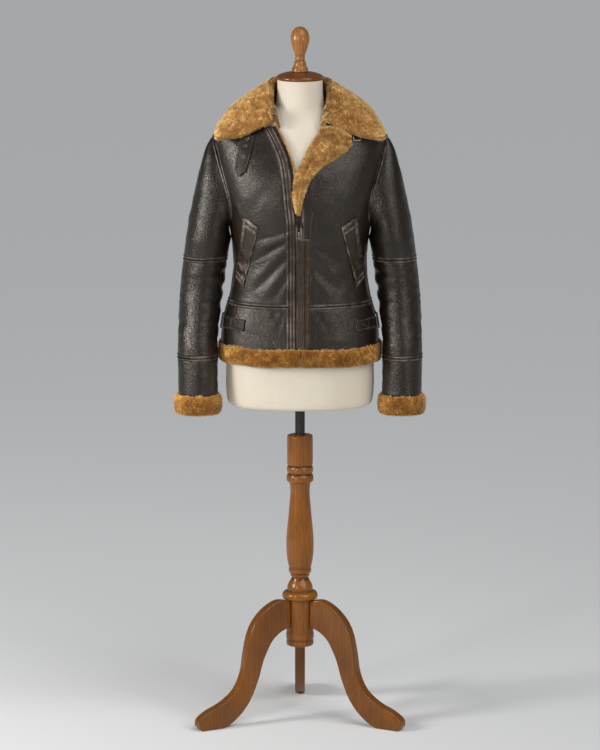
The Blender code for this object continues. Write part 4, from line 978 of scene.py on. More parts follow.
def panel(name, phi, z, edges=(1, 1, 1, 1), material=LEATHER, cords=()):
    """Leather panel with creases and sewn edges.

    Edges give the share of the seam's puff at the first and last row and the first and last column, None for
    an edge that isn't sewn; cords are raised lines along the last column.
    """
    smooth_grid = torso_smooth(phi, z)
    points, normal = on_body(phi, z)
    distances = edge_distances(smooth_grid)
    rise = np.zeros(phi.shape)
    for distance, puff in zip(distances, edges):
        if puff is not None:
            rise = rise + edge_height(distance, puff)
    for at, width, height in cords:
        rise = rise + height * hump(distances[3], at, width)
    points = points + normal * rise[..., None]
    used = [d for d, puff in zip(distances, edges) if puff]
    wear_and_highlight = wear_and_highlight_of(used) if used else np.zeros(phi.shape)
    ob = shell(f"{name}_panel", points, normal, HIDE, [material, WOOL_SHORT], worn_and_lit=wear_and_highlight)
    place(ob, "leather", name)


def level_grid(low, high, start, end, cols, step=GRID):
    rows = spread(high - low, step=step) + low
    z = np.repeat(rows[:, None], len(cols), axis=1)
    a, b = start(z[:, 0]), end(z[:, 0])
    return a[:, None] + (b - a)[:, None] * np.asarray(cols)[None, :], z


def shares(width, high_edge=True, step=GRID):
    at = spread(width, high_edge, step)
    return at / at[-1]


def build_leather_body():
    fronts = ((1, "front_left", FOLD, 1, 0.150), (-1, "front_right", STRIP_SEAM, -1, 0.125))
    for side, name, column, sign, width in fronts:
        phi, z = fitted(*upper_grid(-1, side, edge_angle(column, sign), shares(width)))
        panel(name, phi, z, cords=FACING_CORDS if side > 0 else ())
    whole = []
    for side in (1, -1):
        phi, z = upper_grid(1, side, upright(math.pi / 2), shares(0.170, high_edge=False, step=BACK_GRID))
        whole.append((phi, z) if side > 0 else (phi[:, -2::-1], z[:, -2::-1]))
    phi, z = (np.concatenate((whole[0][k], whole[1][k]), axis=1) for k in (0, 1))
    panel("back", *fitted(phi, z))

    waists = (("waist_front_left", upright(0.0), edge_angle(FOLD), 0.180),
              ("waist_front_right", upright(-math.pi), edge_angle(STRIP_SEAM), 0.160),
              ("waist_back", upright(0.0), upright(math.pi), 0.420))
    for name, start, end, width in waists:
        panel(name, *level_grid(HEM_Z, WAIST_Z, start, end, shares(width)), edges=(None, 0.8, 1, 1))

    phi, z = level_grid(HEM_Z, FRONT_TOP, edge_angle(STRIP_SEAM), edge_angle(ZIP_EDGE),
                        np.linspace(0, 1, 19), step=STRIP_GRID)
    panel("front_strip_right", phi, z, edges=(None, None, 1, 0.9), material=BROWN_LEATHER, cords=STRIP_CORDS)


# ---------------------------------------------------------------- sleeves

def sleeve_rise(psi, z):
    """Height of the sleeve's creases, below 0 in a trough."""
    total = np.zeros(np.broadcast(psi, z).shape)
    for height, towards, wide, tilt, width, depth in SLEEVE_CREASES:
        away = (np.degrees(psi) - towards + 180) % 360 - 180
        line = z - height - tilt * away / wide
        total -= depth * hump(away, 0, wide) ** 2 * hump(line, 0, width)
    return total


def sleeve_ring(psi, t):
    """Ring of the sleeve's head, t from 0 at the armhole to 1 where it hangs level."""
    steps = np.linspace(0, 1, len(SLEEVE_HEAD))
    top_x, top_z, low_x, low_z, depth = (float(smooth(steps, SLEEVE_HEAD[:, c], t)) for c in range(5))
    lift = np.sin(psi)
    return np.stack(((top_x + low_x) / 2 + lift * (top_x - low_x) / 2, -depth * np.cos(psi),
                     (top_z + low_z) / 2 + lift * (top_z - low_z) / 2), axis=-1)


def sleeve_rings():
    """Angles round the left sleeve, and its smooth outer points ring by ring from the armhole to the cuff."""
    psi = np.radians(-90 + np.arange(SLEEVE_AROUND) * 360 / SLEEVE_AROUND)
    phi, z = armhole_phi(psi)
    shift = torso_smooth(phi, z) - sleeve_ring(psi, 0.0)
    rings = [sleeve_ring(psi, t) + shift * (1 - t) ** 2 for t in np.linspace(0, 1, 60)]
    for height in np.linspace(HEAD_END, CUFF_Z, 110)[1:]:
        cx, cy, half_width, half_depth = (float(column_of(SLEEVE, c, height)) for c in (1, 2, 3, 4))
        rings.append(at_level(cx + half_width * np.sin(psi), cy - half_depth * np.cos(psi), height))
    return psi, np.array(rings)


ELBOW_WRINKLE = 0.0007      # fine cross wrinkles where the arm bends
ELBOW_DRAWN = np.array((0.35, 0.35, 1.0))
RIGHT_SLEEVE_OWN = 0.0006   # unevenness that only the right sleeve has


def build_sleeves():
    psi, rings = sleeve_rings()
    down = lengths(rings, 0)
    level = rings[:, :, 2].mean(axis=1)
    marks = [0.0] + [float(np.interp(-z, -level, down)) for z in (ELBOW_Z, LOWER_Z)] + [down[-1]]
    names = ("sleeve_upper", "sleeve_elbow", "sleeve_lower")
    for name, low, high in zip(names, marks, marks[1:]):
        last = name == "sleeve_lower"
        want = spread(high - low, not last) + low
        part = interpolated(want, down, rings)
        normal = grid_normal(part, closed=True)
        from_top = (want - low)[:, None]
        from_low = (high - want)[:, None]
        rise = edge_height(from_top, 1.0) + (0.0 if last else edge_height(from_low, 0.8))
        rise = rise + sleeve_rise(psi[None, :], part[..., 2])
        ripple = uneven(part, SLEEVE_SOFT)
        if name == "sleeve_elbow":
            ripple = ripple + ELBOW_WRINKLE * wander(part * ELBOW_DRAWN, 0.0075, 2)
        points = part + normal * (rise - ripple)[..., None]
        nearest = np.minimum(from_top, from_low + last) * np.ones(part.shape[:2])
        wear_and_highlight = wear_and_highlight_of([nearest])
        for side, label in SIDES:
            grid, out = mirrored(points, side), mirrored(normal, side)
            if side < 0:
                grid = grid - out * (RIGHT_SLEEVE_OWN * wander(grid, 0.021, 3))[..., None]
            ob = shell(f"{name}_panel_{label}", grid, out, HIDE, [LEATHER, WOOL_SHORT], True, wear_and_highlight)
            place(ob, "leather", f"{name}_{label}")


# ---------------------------------------------------------------- wool

def locks(name, roots, normals, heights, half_widths, lean, tone, material, seed):
    """Joined mesh of small locks of wool: each tapers from a closed foot to its leaning tip."""
    rng = np.random.default_rng(seed)
    count = len(roots)
    across = unit(np.cross(normals, rng.normal(size=(count, 3))))
    other = np.cross(normals, across)
    turns = (np.arange(3) * math.tau / 3)[:, None]
    ring = across[:, None] * np.cos(turns) + other[:, None] * np.sin(turns)
    feet = roots[:, None] + ring * half_widths[:, None, None]
    tips = roots + (normals * 0.82 + lean) * heights[:, None]
    points = np.concatenate((feet, tips[:, None]), axis=1).reshape(-1, 3)
    base = np.arange(count)[:, None] * 4
    faces = np.concatenate([base + np.array(loop) for loop in ((0, 1, 3), (1, 2, 3), (2, 0, 3), (2, 1, 0))])
    along = np.tile(np.array((0.0, 0.0, 0.0, 1.0)), count)
    ob = make_object(name, points, faces.tolist(), [material], None,
                     {"along": along, "tone": np.repeat(tone, 4)})
    # the pile is lit as one soft surface, tuft by tuft, with some of each lock's own roundness
    soft = np.concatenate((normals[:, None] + ring * 0.90 + lean[:, None] * 0.5,
                           (normals + lean * 0.8)[:, None]), axis=1)
    ob.data.normals_split_custom_set_from_vertices(unit(soft.reshape(-1, 3)).tolist())
    return place(ob, "fur")


def scattered(points, faces, count, seed):
    """Evenly scattered places on quads, sparser where they face the neck: points and normals."""
    rng = np.random.default_rng(seed)
    corners = points[np.asarray(faces)]
    normal = np.cross(corners[:, 2] - corners[:, 0], corners[:, 3] - corners[:, 1])
    inward = (normal[:, :2] * corners[:, :, :2].mean(axis=1)).sum(axis=1) < 0
    area = np.linalg.norm(normal, axis=1) / 2 * np.where(inward, 0.45, 1.0)
    ends = np.cumsum(area)
    pick = np.searchsorted(ends, (np.arange(count) + rng.random(count)) / count * ends[-1])
    pick = np.minimum(pick, len(area) - 1)
    u, v = rng.random((2, count, 1))
    c = corners[pick]
    place_at = (1 - u) * (1 - v) * c[:, 0] + u * (1 - v) * c[:, 1] + u * v * c[:, 2] + (1 - u) * v * c[:, 3]
    return place_at, unit(normal[pick])


TUFT = 0.0085           # usual distance between the tufts of the wool
LOCK_HALF = 0.00127     # usual half width of a lock at its foot
EDGE_LOCK_HALF = 0.0012
LOCK_ROOT = 0.0012      # how deep a lock's foot lies in its backing
TWIST = np.array(Quaternion((1, 1, 1), math.radians(40)).to_matrix())   # turns the unevenness off the axes


def gathered(points, normals):
    """Lean of the locks along the skin: towards the nearest tuft, and a little down."""
    step = TUFT * 0.25
    slope = np.stack([wander(points + axis * step, TUFT) - wander(points - axis * step, TUFT)
                      for axis in np.eye(3)], axis=-1)
    lean = slope * 0.42 + np.array((0, 0, -0.22))
    return lean - normals * (lean * normals).sum(-1, keepdims=True)


def wool_on(name, backing, count, reach, material, seed, rim=0.0):
    """Locks over the fur side of a backing piece, whose slot 0 faces carry the pile."""
    mesh = backing.data
    points = np.zeros(len(mesh.vertices) * 3)
    mesh.vertices.foreach_get("co", points)
    points = points.reshape(-1, 3) - np.array(AXIS)
    faces = [tuple(p.vertices) for p in mesh.polygons if p.material_index == 0 and len(p.vertices) == 4]
    roots, normals = scattered(points, faces, count, seed)
    rng = np.random.default_rng(seed + 50)
    tuft = wander(roots @ TWIST, TUFT)
    cloud = wander(roots @ TWIST, 0.028, 1)
    speck = wander(roots @ TWIST.T, 0.0048, 3)
    patch = wander(roots @ TWIST.T, 0.0135, 2)
    heights = reach * (1.0 + 0.16 * tuft + 0.10 * cloud + 0.10 * patch) * rng.uniform(0.74, 1.20, count)
    wide = LOCK_HALF * rng.uniform(0.75, 1.20, count)
    upper = rim * np.clip(normals[:, 2], 0, 1)
    heights = heights * (1 + upper * (0.45 * rng.random(count) + 0.45 * np.maximum(tuft, 0)))
    # tone is raised on a band's upward-facing locks: painted light on its top
    tone = (0.5 + 0.16 * tuft + 0.20 * cloud + 0.18 * patch + 0.17 * speck
            + 0.20 * rng.uniform(-1, 1, count) + 0.4 * upper)
    return locks(name, roots - normals * LOCK_ROOT, normals, heights, wide, gathered(roots, normals),
                 np.clip(tone, 0, 1), material, seed)


def backing_value(ob):
    """The backing's own place in the pile's colours, between root 0 and tip 1; being dark, it is painted shade
    between the locks.
    """
    count = len(ob.data.vertices)
    for key, number in (("along", 0.35), ("tone", 0.4)):
        add_value(ob.data, key, np.full(count, number))


def neck_seam(along):
    """Left half of the neckline, from the front opening to the middle of the back."""
    share = np.clip(1 - along / NECK_FRONT, 0, 1)
    z = NECK_Z - NECK_DROP * share ** 1.5
    front = front_phi(column_of(FRONT_EDGES, FOLD, FRONT_TOP), FRONT_TOP)
    behind = math.pi / 2 * (along - NECK_FRONT) / (1 - NECK_FRONT)
    phi = np.where(along < NECK_FRONT, front * (1 - along / NECK_FRONT), behind)
    return torso_smooth(phi, z) + np.array((0, 0, NECK_LIFT))


def collar_grid(stations):
    """Fur side of the left half of the collar: rows from the front end to the middle of the back."""
    along = np.linspace(0, 1, stations)
    roll, edge = (np.stack([column_of(COLLAR, c, along) for c in columns], axis=-1)
                  for columns in ((1, 2, 3), (4, 5, 6)))
    belly = column_of(COLLAR, 7, along)
    rows = []
    for r, e, b, s in zip(roll, edge, belly, neck_seam(along)):
        ahead = unit((e - r) * LEVEL)
        leaf = unit(e - r)
        out = unit(UP - leaf * leaf.dot(UP))
        centre = r - UP * COLLAR_ROLL
        leaf_top = centre + out * COLLAR_ROLL
        inside = centre - ahead * COLLAR_ROLL
        foot = s - ahead * COLLAR_FOOT_IN
        share = np.array(LEAF_SHARES)[:, None]
        leaf_points = leaf_top + (e - leaf_top) * share + out * b * np.sin(math.pi * share ** BELLY_POWER)
        rows.append([*leaf_points, leaf_top, r, inside, (inside + foot) / 2, foot])
    return np.array(rows)


COLLAR_PILE = 0.0052    # depth of the pile outside the backing
COLLAR_BACK = 0.0045
COLLAR_REACH, LAPEL_REACH, BAND_REACH = 0.0064, 0.0058, 0.0060     # the locks above their roots
COLLAR_LOCKS, LAPEL_LOCKS, FRINGE_LOCKS, HEM_LOCKS, CUFF_LOCKS = 42000, 9500, 1500, 30500, 11500


def build_collar():
    half = resample(collar_grid(61), 34, axis=1)
    grid = np.concatenate((half, mirrored(half[-2::-1], -1)))
    normal = grid_normal(grid)
    base = grid - normal * (COLLAR_PILE + uneven(grid, COLLAR_SOFT))[..., None]
    ob = shell("collar_skin", base, normal, COLLAR_BACK, [WOOL_GOLD, LEATHER], turned_in=6)
    backing_value(ob)
    place(ob, "fur", "collar")
    pile = wool_on("collar_wool", ob, COLLAR_LOCKS, COLLAR_REACH, WOOL_GOLD, 11)


LAPEL_LIFT = 0.0006
LAPEL_EDGE, LAPEL_SWELL, LAPEL_GROOVE, LAPEL_THIN = 0.0016, 0.0044, 0.0032, 0.0014     # thicknesses


def build_lapel():
    along = np.linspace(0, 1, 56)
    across = np.linspace(0, 1, 22)
    fold_x, fold_z, edge_x, edge_z, swell = (column_of(LAPEL, c, along)[:, None] for c in range(1, 6))
    x = fold_x + (edge_x - fold_x) * across
    z = fold_z + (edge_z - fold_z) * across + swell * np.sin(math.pi * across)
    # a long soft groove runs down the middle of the turned-out fur
    bend = 0.52 + 0.10 * np.sin(math.tau * along[:, None])
    groove = LAPEL_GROOVE * hump(across, bend, 0.11) * np.sin(math.pi * along)[:, None] ** 0.5
    thick = np.maximum(LAPEL_EDGE + LAPEL_SWELL * np.sin(math.pi * across) - groove, LAPEL_THIN)
    base, normal = on_front(x, z, LAPEL_LIFT + thick)
    ob = shell("lapel_skin", base, normal, thick, [WOOL_GOLD, LEATHER], turned_in=2)
    backing_value(ob)
    place(ob, "fur", "lapel")
    pile = wool_on("lapel_wool", ob, LAPEL_LOCKS, LAPEL_REACH, WOOL_GOLD, 12)
    # along the top the wool stands up and meets the collar's
    rng = np.random.default_rng(15)
    count = FRINGE_LOCKS
    share = rng.random(count)
    top_x = fold_x[-1] + (edge_x[-1] - fold_x[-1]) * share
    top_z = fold_z[-1] + (edge_z[-1] - fold_z[-1]) * share + swell[-1] * np.sin(math.pi * share)
    down, out = rng.uniform(0.0, 0.0030, count), rng.uniform(0.0015, 0.0050, count)
    roots, normals = on_front(top_x, top_z - down, out)
    lean = UP + rng.normal(scale=0.12, size=(count, 3))
    fringe = locks("lapel_top_wool", roots, normals * 0.55, rng.uniform(0.0050, 0.0080, count),
                   np.full(count, EDGE_LOCK_HALF), lean, rng.uniform(0.25, 0.85, count), WOOL_GOLD, 16)


HIDE_FOLDED = 0.0015    # sheepskin folded round an edge, without its wool
BACKING_SHARE = (0.52, 0.80)    # the backing lies inside the band by about the pile's height


def band(name, centres, away, profile, pressed, pile, count, seed, closed, reach):
    """Band of fur along an edge: a closed tube of backing, and its locks."""
    d, up = resample(np.array(profile + profile[:1]), 23)[:-1].T
    mid_d, mid_up = d.mean(), up.mean()
    d, up = mid_d + (d - mid_d) * BACKING_SHARE[0], mid_up + (up - mid_up) * BACKING_SHARE[1]
    flat_out = unit(np.stack((np.roll(up, 1) - np.roll(up, -1), np.roll(d, -1) - np.roll(d, 1)), 1))
    if (flat_out * np.stack((d - mid_d, up - mid_up), 1)).sum() < 0:
        flat_out = -flat_out
    grids = []
    for depth in (0.0, HIDE_FOLDED):
        d_in, up_in = d - flat_out[:, 0] * depth, up - flat_out[:, 1] * depth
        reach_out = np.where(d_in > 0, d_in * pressed[:, None], d_in)
        grids.append(centres[:, None] + away[:, None] * reach_out[..., None] + UP * up_in[:, None])
    rows, cols = grids[0].shape[:2]
    count_in = rows * cols
    loops = quads(rows + closed, cols, True)
    loops = (np.array(loops) % count_in).tolist()
    faces = loops + [[i + count_in for i in loop[::-1]] for loop in loops]
    slots = [0] * len(loops) + [1] * len(loops)
    if not closed:
        for first in (0, count_in - cols):
            for k in range(cols):
                j = (k + 1) % cols
                faces.append((first + k, first + j, first + j + count_in, first + k + count_in))
                slots.append(0)
    ob = make_object(f"{name}_skin", np.concatenate([g.reshape(-1, 3) for g in grids]), faces,
                     [WOOL_BROWN, LEATHER], slots)
    point_outward(ob)
    backing_value(ob)
    place(ob, "fur", name)
    locks_ob = wool_on(pile, ob, count, reach, WOOL_BROWN, seed, rim=1.0)


def build_hem():
    start = float(front_phi(HEM_SPLIT, HEM_Z))
    end = float(front_phi(-HEM_SPLIT, HEM_Z)) + math.tau
    phi = np.linspace(start, end, 190)
    centres = torso_smooth(phi, HEM_Z)
    away = unit(slopes_normal(torso_smooth, phi, np.full_like(phi, HEM_Z)) * LEVEL)
    centres = centres + np.outer(uneven(centres, HEM_SOFT), UP)
    pressed = 1 - HEM_PRESSED * np.cos(phi) ** 8
    band("hem_fur", centres, away, HEM_SECTION, pressed, "hem_wool", HEM_LOCKS, 21, False, BAND_REACH)


def build_cuffs():
    psi, rings = sleeve_rings()
    ring = rings[-1]
    out = unit((ring - ring.mean(axis=0)) * LEVEL)
    # the band's lower edge rises a little at the front and the back
    arch = 0.0018 * np.cos(psi) ** 2
    for side, label in SIDES:
        centres = mirrored(ring + np.outer(arch, UP), side)
        band(f"cuff_{label}", centres, mirrored(out, side), CUFF_SECTION, np.ones(len(ring)),
             f"cuff_wool_{label}", CUFF_LOCKS, 31 + side, True, BAND_REACH)


def build_opening_wool():
    """Short wool of the inside that shows along the right front's zip edge."""
    z = np.repeat(np.linspace(1.285, 1.420, 700), 3)
    rng = np.random.default_rng(41)
    count = len(z)
    shift = rng.uniform(0.0050, 0.0110, count) * np.clip((z - 1.270) / 0.05, 0.3, 1.0)
    x = column_of(FRONT_EDGES, ZIP_EDGE, z) + shift
    roots, normals = on_front(x, z, -0.0045)
    locks("front_right_wool", roots, normals, rng.uniform(0.0040, 0.0058, count),
          np.full(count, EDGE_LOCK_HALF), gathered(roots, normals),
          rng.uniform(0.3, 0.8, count), WOOL_GOLD, 42)


# ---------------------------------------------------------------- stitches

STITCH_LONG = 0.0026
STITCH_STEP = 0.0036
STITCH_HALF = 0.00042
SEWN_END = 0.006        # from the hem's or the neck's edge to the first stitch
SUNK = 0.0002 - STITCH_DIP      # height of stitches that lie in their dip


def ahead_of(at, gone, line, step):
    """Direction of a line at the given distances along it."""
    return unit(interpolated(at + step, gone, line) - interpolated(at - step, gone, line))


def stitches(name, lines, material=THREAD):
    """Joined mesh of short stitches along lines given as (points, normals)."""
    points, faces, count = [], [], 0
    profile = ((-0.5, 0.0), (-0.36, 0.8), (0.36, 0.8), (0.5, 0.0))
    for line, normals in lines:
        gone = distance_along(line)
        at = np.arange(STITCH_STEP / 2, gone[-1], STITCH_STEP)
        ahead = ahead_of(at, gone, line, 0.0005)
        out = unit(interpolated(at, gone, normals))
        for p, a, o, s in zip(interpolated(at, gone, line), ahead, out, np.cross(out, ahead)):
            for share, size in profile:
                for k in range(4):
                    turn = math.radians(45 + 90 * k)
                    reach = STITCH_HALF * (size + 0.25)
                    points.append(p + a * share * STITCH_LONG + s * reach * math.cos(turn)
                                  + o * (reach * math.sin(turn) + 0.0001))
            for r in range(3):
                for k in range(4):
                    j = (k + 1) % 4
                    low, high = count + r * 4, count + r * 4 + 4
                    faces.append((low + k, low + j, high + j, high + k))
            faces.append(tuple(count + k for k in (3, 2, 1, 0)))
            faces.append(tuple(count + 12 + k for k in range(4)))
            count += 16
    place(make_object(name, np.array(points), faces, [material]), "leather")


def build_body_stitches():
    lines = []
    z = np.linspace(HEM_Z + SEWN_END, FRONT_TOP - SEWN_END, 260)
    for column, shift in ((STRIP_SEAM, -STITCH_AT), (STRIP_SEAM, STITCH_AT), (ZIP_EDGE, -STITCH_AT)):
        lines.append(on_front(column_of(FRONT_EDGES, column, z) + shift, z, SUNK))
    z = np.linspace(HEM_Z + SEWN_END, 1.225, 160)
    for at, _, _ in FACING_CORDS:
        lines.append(on_front(column_of(FRONT_EDGES, FOLD, z) + at + CORD_STITCH, z, 0.0001))
    for first, last in ((-math.pi + 0.03, 0.0), (0.0, math.pi)):
        phi = np.linspace(first, last, 240)
        for shift in (STITCH_AT, -STITCH_AT):
            lines.append(on_body(phi, np.full_like(phi, WAIST_Z + shift), SUNK))
    stitches("body_stitches", lines)
    # beside the placket, and above it curving away to the left
    z = np.linspace(HEM_Z + SEWN_END, 1.232, 200)
    x = PLACKET_X[1] + 0.0026 + 0.0075 * np.clip((z - 1.170) / 0.062, 0, 1) ** 2
    stitches("placket_side_stitches", [on_front(x, z, 0.0001)], PALE_THREAD)


def build_sleeve_stitches():
    psi, rings = sleeve_rings()
    level = rings[:, :, 2].mean(axis=1)
    down = lengths(rings, 0)
    for side, label in SIDES:
        lines = []
        for seam_z in (ELBOW_Z, LOWER_Z):
            seam = float(np.interp(-seam_z, -level, down))
            for shift in (-STITCH_AT, STITCH_AT):
                ring = interpolated(seam + shift, down, rings)
                ring = np.concatenate((ring, ring[:1]))
                out = unit((ring - ring[:-1].mean(axis=0)) * LEVEL)
                rise = sleeve_rise(np.append(psi, psi[0]), ring[:, 2]) - STITCH_DIP * 0.4
                lines.append((mirrored(ring + out * rise[:, None], side), mirrored(out, side)))
        stitches(f"sleeve_stitches_{label}", lines)


# ---------------------------------------------------------------- laid-on trims

LAID_TURN = 0.0011      # how far in from its cut edges a laid piece is rounded
# how far in from a laid piece's edges it is paler: wear, and painted highlight on the rounding
LAID_WORN_AND_LIT = 0.0016
LAID_ROUND = 0.8        # share of the rounding that shows
LAID_STITCH = 0.0002    # height of stitches on a laid piece


def eased(distances):
    """Drop of a laid piece's outer surface near its cut edges."""
    nearest = np.minimum.reduce(distances)
    rounded = np.clip(1 - nearest / LAID_TURN, 0, 1)
    return LAID_TURN * (1 - np.sqrt(1 - rounded ** 2)) * LAID_ROUND


def laid(name, grid, thickness, material, folds, rubbed_and_lit=0.0):
    """Thin piece laid on the leather, from the points and normals of its top, with eased edges that are paler:
    wear, and painted highlight on the rounding.
    """
    smooth_grid, normal = grid
    distances = edge_distances(smooth_grid)
    points = smooth_grid + normal * (folds - eased(distances))[..., None]
    worn_and_lit = np.clip(hump(np.minimum.reduce(distances), 0, LAID_WORN_AND_LIT) * 0.8 + rubbed_and_lit, 0, 1)
    ob = shell(f"{name}_leather", points, normal, thickness * 0.9, [material], worn_and_lit=worn_and_lit)
    place(ob, "leather", name)


def ease_steps(length, step=0.003):
    """Shares along a laid piece, close together near its cut edges."""
    edge = np.array((0.0, 0.0003, 0.0007, 0.0012))
    inner = np.linspace(edge[-1], length - edge[-1], max(int(length / step), 2))[1:-1]
    return np.concatenate((edge, inner, length - edge[::-1])) / length


PLACKET_FOOT = HEM_Z + 0.004
PLACKET_LIFT = 0.0012
PLACKET_SEWN = (PLACKET_X[0] + 0.0028, 0.0098, 0.0180)


def build_placket():
    rows = PLACKET_FOOT + (PLACKET_TOP - PLACKET_FOOT) * ease_steps(PLACKET_TOP - HEM_Z, 0.0036)
    width = PLACKET_X[1] - PLACKET_X[0]
    cols = PLACKET_X[0] + width * ease_steps(width, 0.0007)
    z, x = np.meshgrid(rows, cols, indexing="ij")
    # a pressed line splits the placket, and the fold over the zip stands up beside it
    folds = 0.0005 * hump(x, 0.0070, 0.0030) - 0.0014 * hump(x, 0.0120, 0.0009)
    folds = folds + 0.0004 * np.sin((x + 0.0006 * np.sin(z * 90)) * math.tau / 0.0042)
    folds = folds + 0.0003 * wander(np.stack((x, z * 0.2, z * 0.3), -1), 0.0045, 1)
    laid("placket", on_front(x, z, PLACKET_LIFT + TRIM), TRIM, BROWN_LEATHER, folds)
    z = np.linspace(PLACKET_FOOT + 0.004, PLACKET_TOP - 0.003, 160)
    stitches("placket_stitches", [on_front(np.full_like(z, x), z, PLACKET_LIFT - 0.0001 + TRIM)
                                  for x in PLACKET_SEWN])


def four_corner(corners, rows, cols):
    (ax, az), (bx, bz), (cx, cz), (dx, dz) = corners
    along, across = rows[:, None], cols[None, :]
    x = (1 - along) * ((1 - across) * ax + across * bx) + along * ((1 - across) * cx + across * dx)
    z = (1 - along) * ((1 - across) * az + across * bz) + along * ((1 - across) * cz + across * dz)
    return x, z


WELT_T = 0.0026
WELT_LIFT = 0.0007
WELT_BAND, WELT_BEAD, WELT_EDGE = 0.0007, 0.0009, 0.0007      # heights
WELT_GROOVE, WELT_CRUMPLE = 0.0013, 0.0015
WELT_BEADS_TOP = math.tau * 9      # stitches that pull the band into beads, across the top
WELT_BEADS_SIDE = math.tau * 38    # and down the side
# Places and widths on a welt, in shares of its width from the middle, or of its length from the top.
WELT_OUTER_BAND, WELT_TOP_BAND = (0.88, 0.075), (0.035, 0.022)
WELT_OUTER_GROOVE, WELT_TOP_GROOVE = (0.74, 0.035), (0.078, 0.014)
WELT_INNER_EDGE = (0.10, 0.05)
WELT_RUBS_AND_HIGHLIGHTS = ((0.965, 0.020, 0.7), (0.90, 0.012, 0.7), (0.115, 0.012, 0.9))     # and how much paler: wear, and painted highlight
WELT_SLACK = (0.42, 1.02)


def build_welts():
    for side, label in SIDES[::-1]:
        corners = [(side * x, z) for x, z in WELT_CORNERS]
        rows, cols = ease_steps(0.150, 0.0013), ease_steps(0.032, 0.0012)
        x, z = four_corner(corners, rows, cols)
        across, along = cols[None, :], rows[:, None]
        # a beaded band along the top and down the outer side, and crumpled leather in the lower half
        outer_band = hump(across, *WELT_OUTER_BAND, 4) * np.clip((0.50 - along) * 8, 0.25, 1)
        top_band = hump(along, *WELT_TOP_BAND, 4) * np.ones_like(across)
        beads = 0.5 + 0.5 * np.where(top_band > outer_band, np.sin(across * WELT_BEADS_TOP),
                                     np.sin(along * WELT_BEADS_SIDE))
        band_height = np.maximum(outer_band, top_band)
        groove = (hump(across, *WELT_OUTER_GROOVE) * np.clip((0.55 - along) * 8, 0, 1)
                  + hump(along, *WELT_TOP_GROOVE))
        inner_edge = hump(across, *WELT_INNER_EDGE)
        slack = np.clip((along - WELT_SLACK[0]) * 5, 0, 1) * np.clip((WELT_SLACK[1] - along) * 8, 0, 1)
        spot = np.stack((x * 1.2, x * 0, z), -1)
        crumple = (1 - 2 * np.abs(wander(spot, 0.017, 2))) * slack + 0.5 * wander(spot, 0.008, 3) * slack
        folds = (band_height * (WELT_BAND + WELT_BEAD * beads) - WELT_GROOVE * groove
                 + WELT_EDGE * inner_edge + WELT_CRUMPLE * crumple)
        # paler on the beads, on the crests of the crumples and at the listed places: wear, and painted
        # highlight on the raised leather
        rubbed_and_lit = (1.3 * band_height * beads * np.clip((0.6 - along) * 4, 0, 1)
                  + 0.5 * np.clip(crumple - 0.45, 0, 1)
                  + sum(worn_and_lit * hump(along, at, width) for at, width, worn_and_lit in WELT_RUBS_AND_HIGHLIGHTS))
        grid, normal = on_front(x, z, WELT_LIFT + WELT_T)
        laid(f"pocket_welt_{label}", (grid, normal), WELT_T, WELT_LEATHER, folds, rubbed_and_lit=rubbed_and_lit)
        top = grid + normal * LAID_STITCH
        inside = slice(3, -3)
        lines = [(top[inside, column], normal[inside, column]) for column in (3, len(cols) - 4)]
        lines += [(top[row, inside], normal[row, inside]) for row in (4, len(rows) - 5)]
        stitches(f"welt_stitches_{label}", lines)


STRAP_LIFT = 0.0008
STRAP_STITCH = 0.0003       # how deep the stitches lie in a strap
STRAP_PUFF, STRAP_DIP = 0.0006, 0.0014     # between its sewn lines, and down to them


def strap_grid(side, cols, rows, out):
    """Points and normals of a side strap, at shares of its length and height."""
    start = float(front_phi(STRAP_FRONT_X, STRAP_Z))
    phi = start + (STRAP_BACK_TURN - start) * cols[None, :] * np.ones((len(rows), 1))
    if side < 0:
        phi = math.pi - phi
    z = STRAP_Z + (rows[:, None] - 0.5) * STRAP_HEIGHT * np.ones((1, len(cols)))
    return on_body(phi, z, out)


def strap_lines():
    """Sewn lines of a side strap, in shares of its length and height: edges, and a box with a diagonal."""
    box_end, low, high = 0.150, 0.13, 0.87
    return (((0.015, low), (0.985, low)), ((0.015, high), (0.985, high)), ((0.02, low), (0.02, high)),
            ((box_end, low), (box_end, high)), ((0.02, high), (box_end, low)))


def build_side_straps():
    for side, label in SIDES:
        cols, rows = ease_steps(0.160, 0.0014), ease_steps(STRAP_HEIGHT, 0.0013)
        grid = strap_grid(side, cols, rows, STRAP_LIFT + TRIM)
        length = lengths(grid[0], 1)[-1]
        across, up = np.meshgrid(cols * length, rows * STRAP_HEIGHT)
        folds = np.full(across.shape, STRAP_PUFF)
        for (c0, r0), (c1, r1) in strap_lines():
            x0, y0, x1, y1 = c0 * length, r0 * STRAP_HEIGHT, c1 * length, r1 * STRAP_HEIGHT
            dx, dy = x1 - x0, y1 - y0
            t = np.clip(((across - x0) * dx + (up - y0) * dy) / (dx * dx + dy * dy), 0, 1)
            away = np.hypot(across - x0 - t * dx, up - y0 - t * dy)
            folds = np.minimum(folds, STRAP_PUFF - STRAP_DIP * hump(away, 0, 0.0012))
        laid(f"side_strap_{label}", grid, TRIM, SHADED_STRAP_LEATHER, folds)
        lines = []
        for (c0, r0), (c1, r1) in strap_lines():
            t = np.linspace(0, 1, 60 if r0 == r1 else 14)
            spots = [strap_grid(side, np.array((c0 + (c1 - c0) * k,)), np.array((r0 + (r1 - r0) * k,)),
                                STRAP_LIFT - STRAP_STITCH + TRIM) for k in t]
            lines.append(tuple(np.array([spot[k][0, 0] for spot in spots]) for k in (0, 1)))
        stitches(f"strap_stitches_{label}", lines, PALE_THREAD)


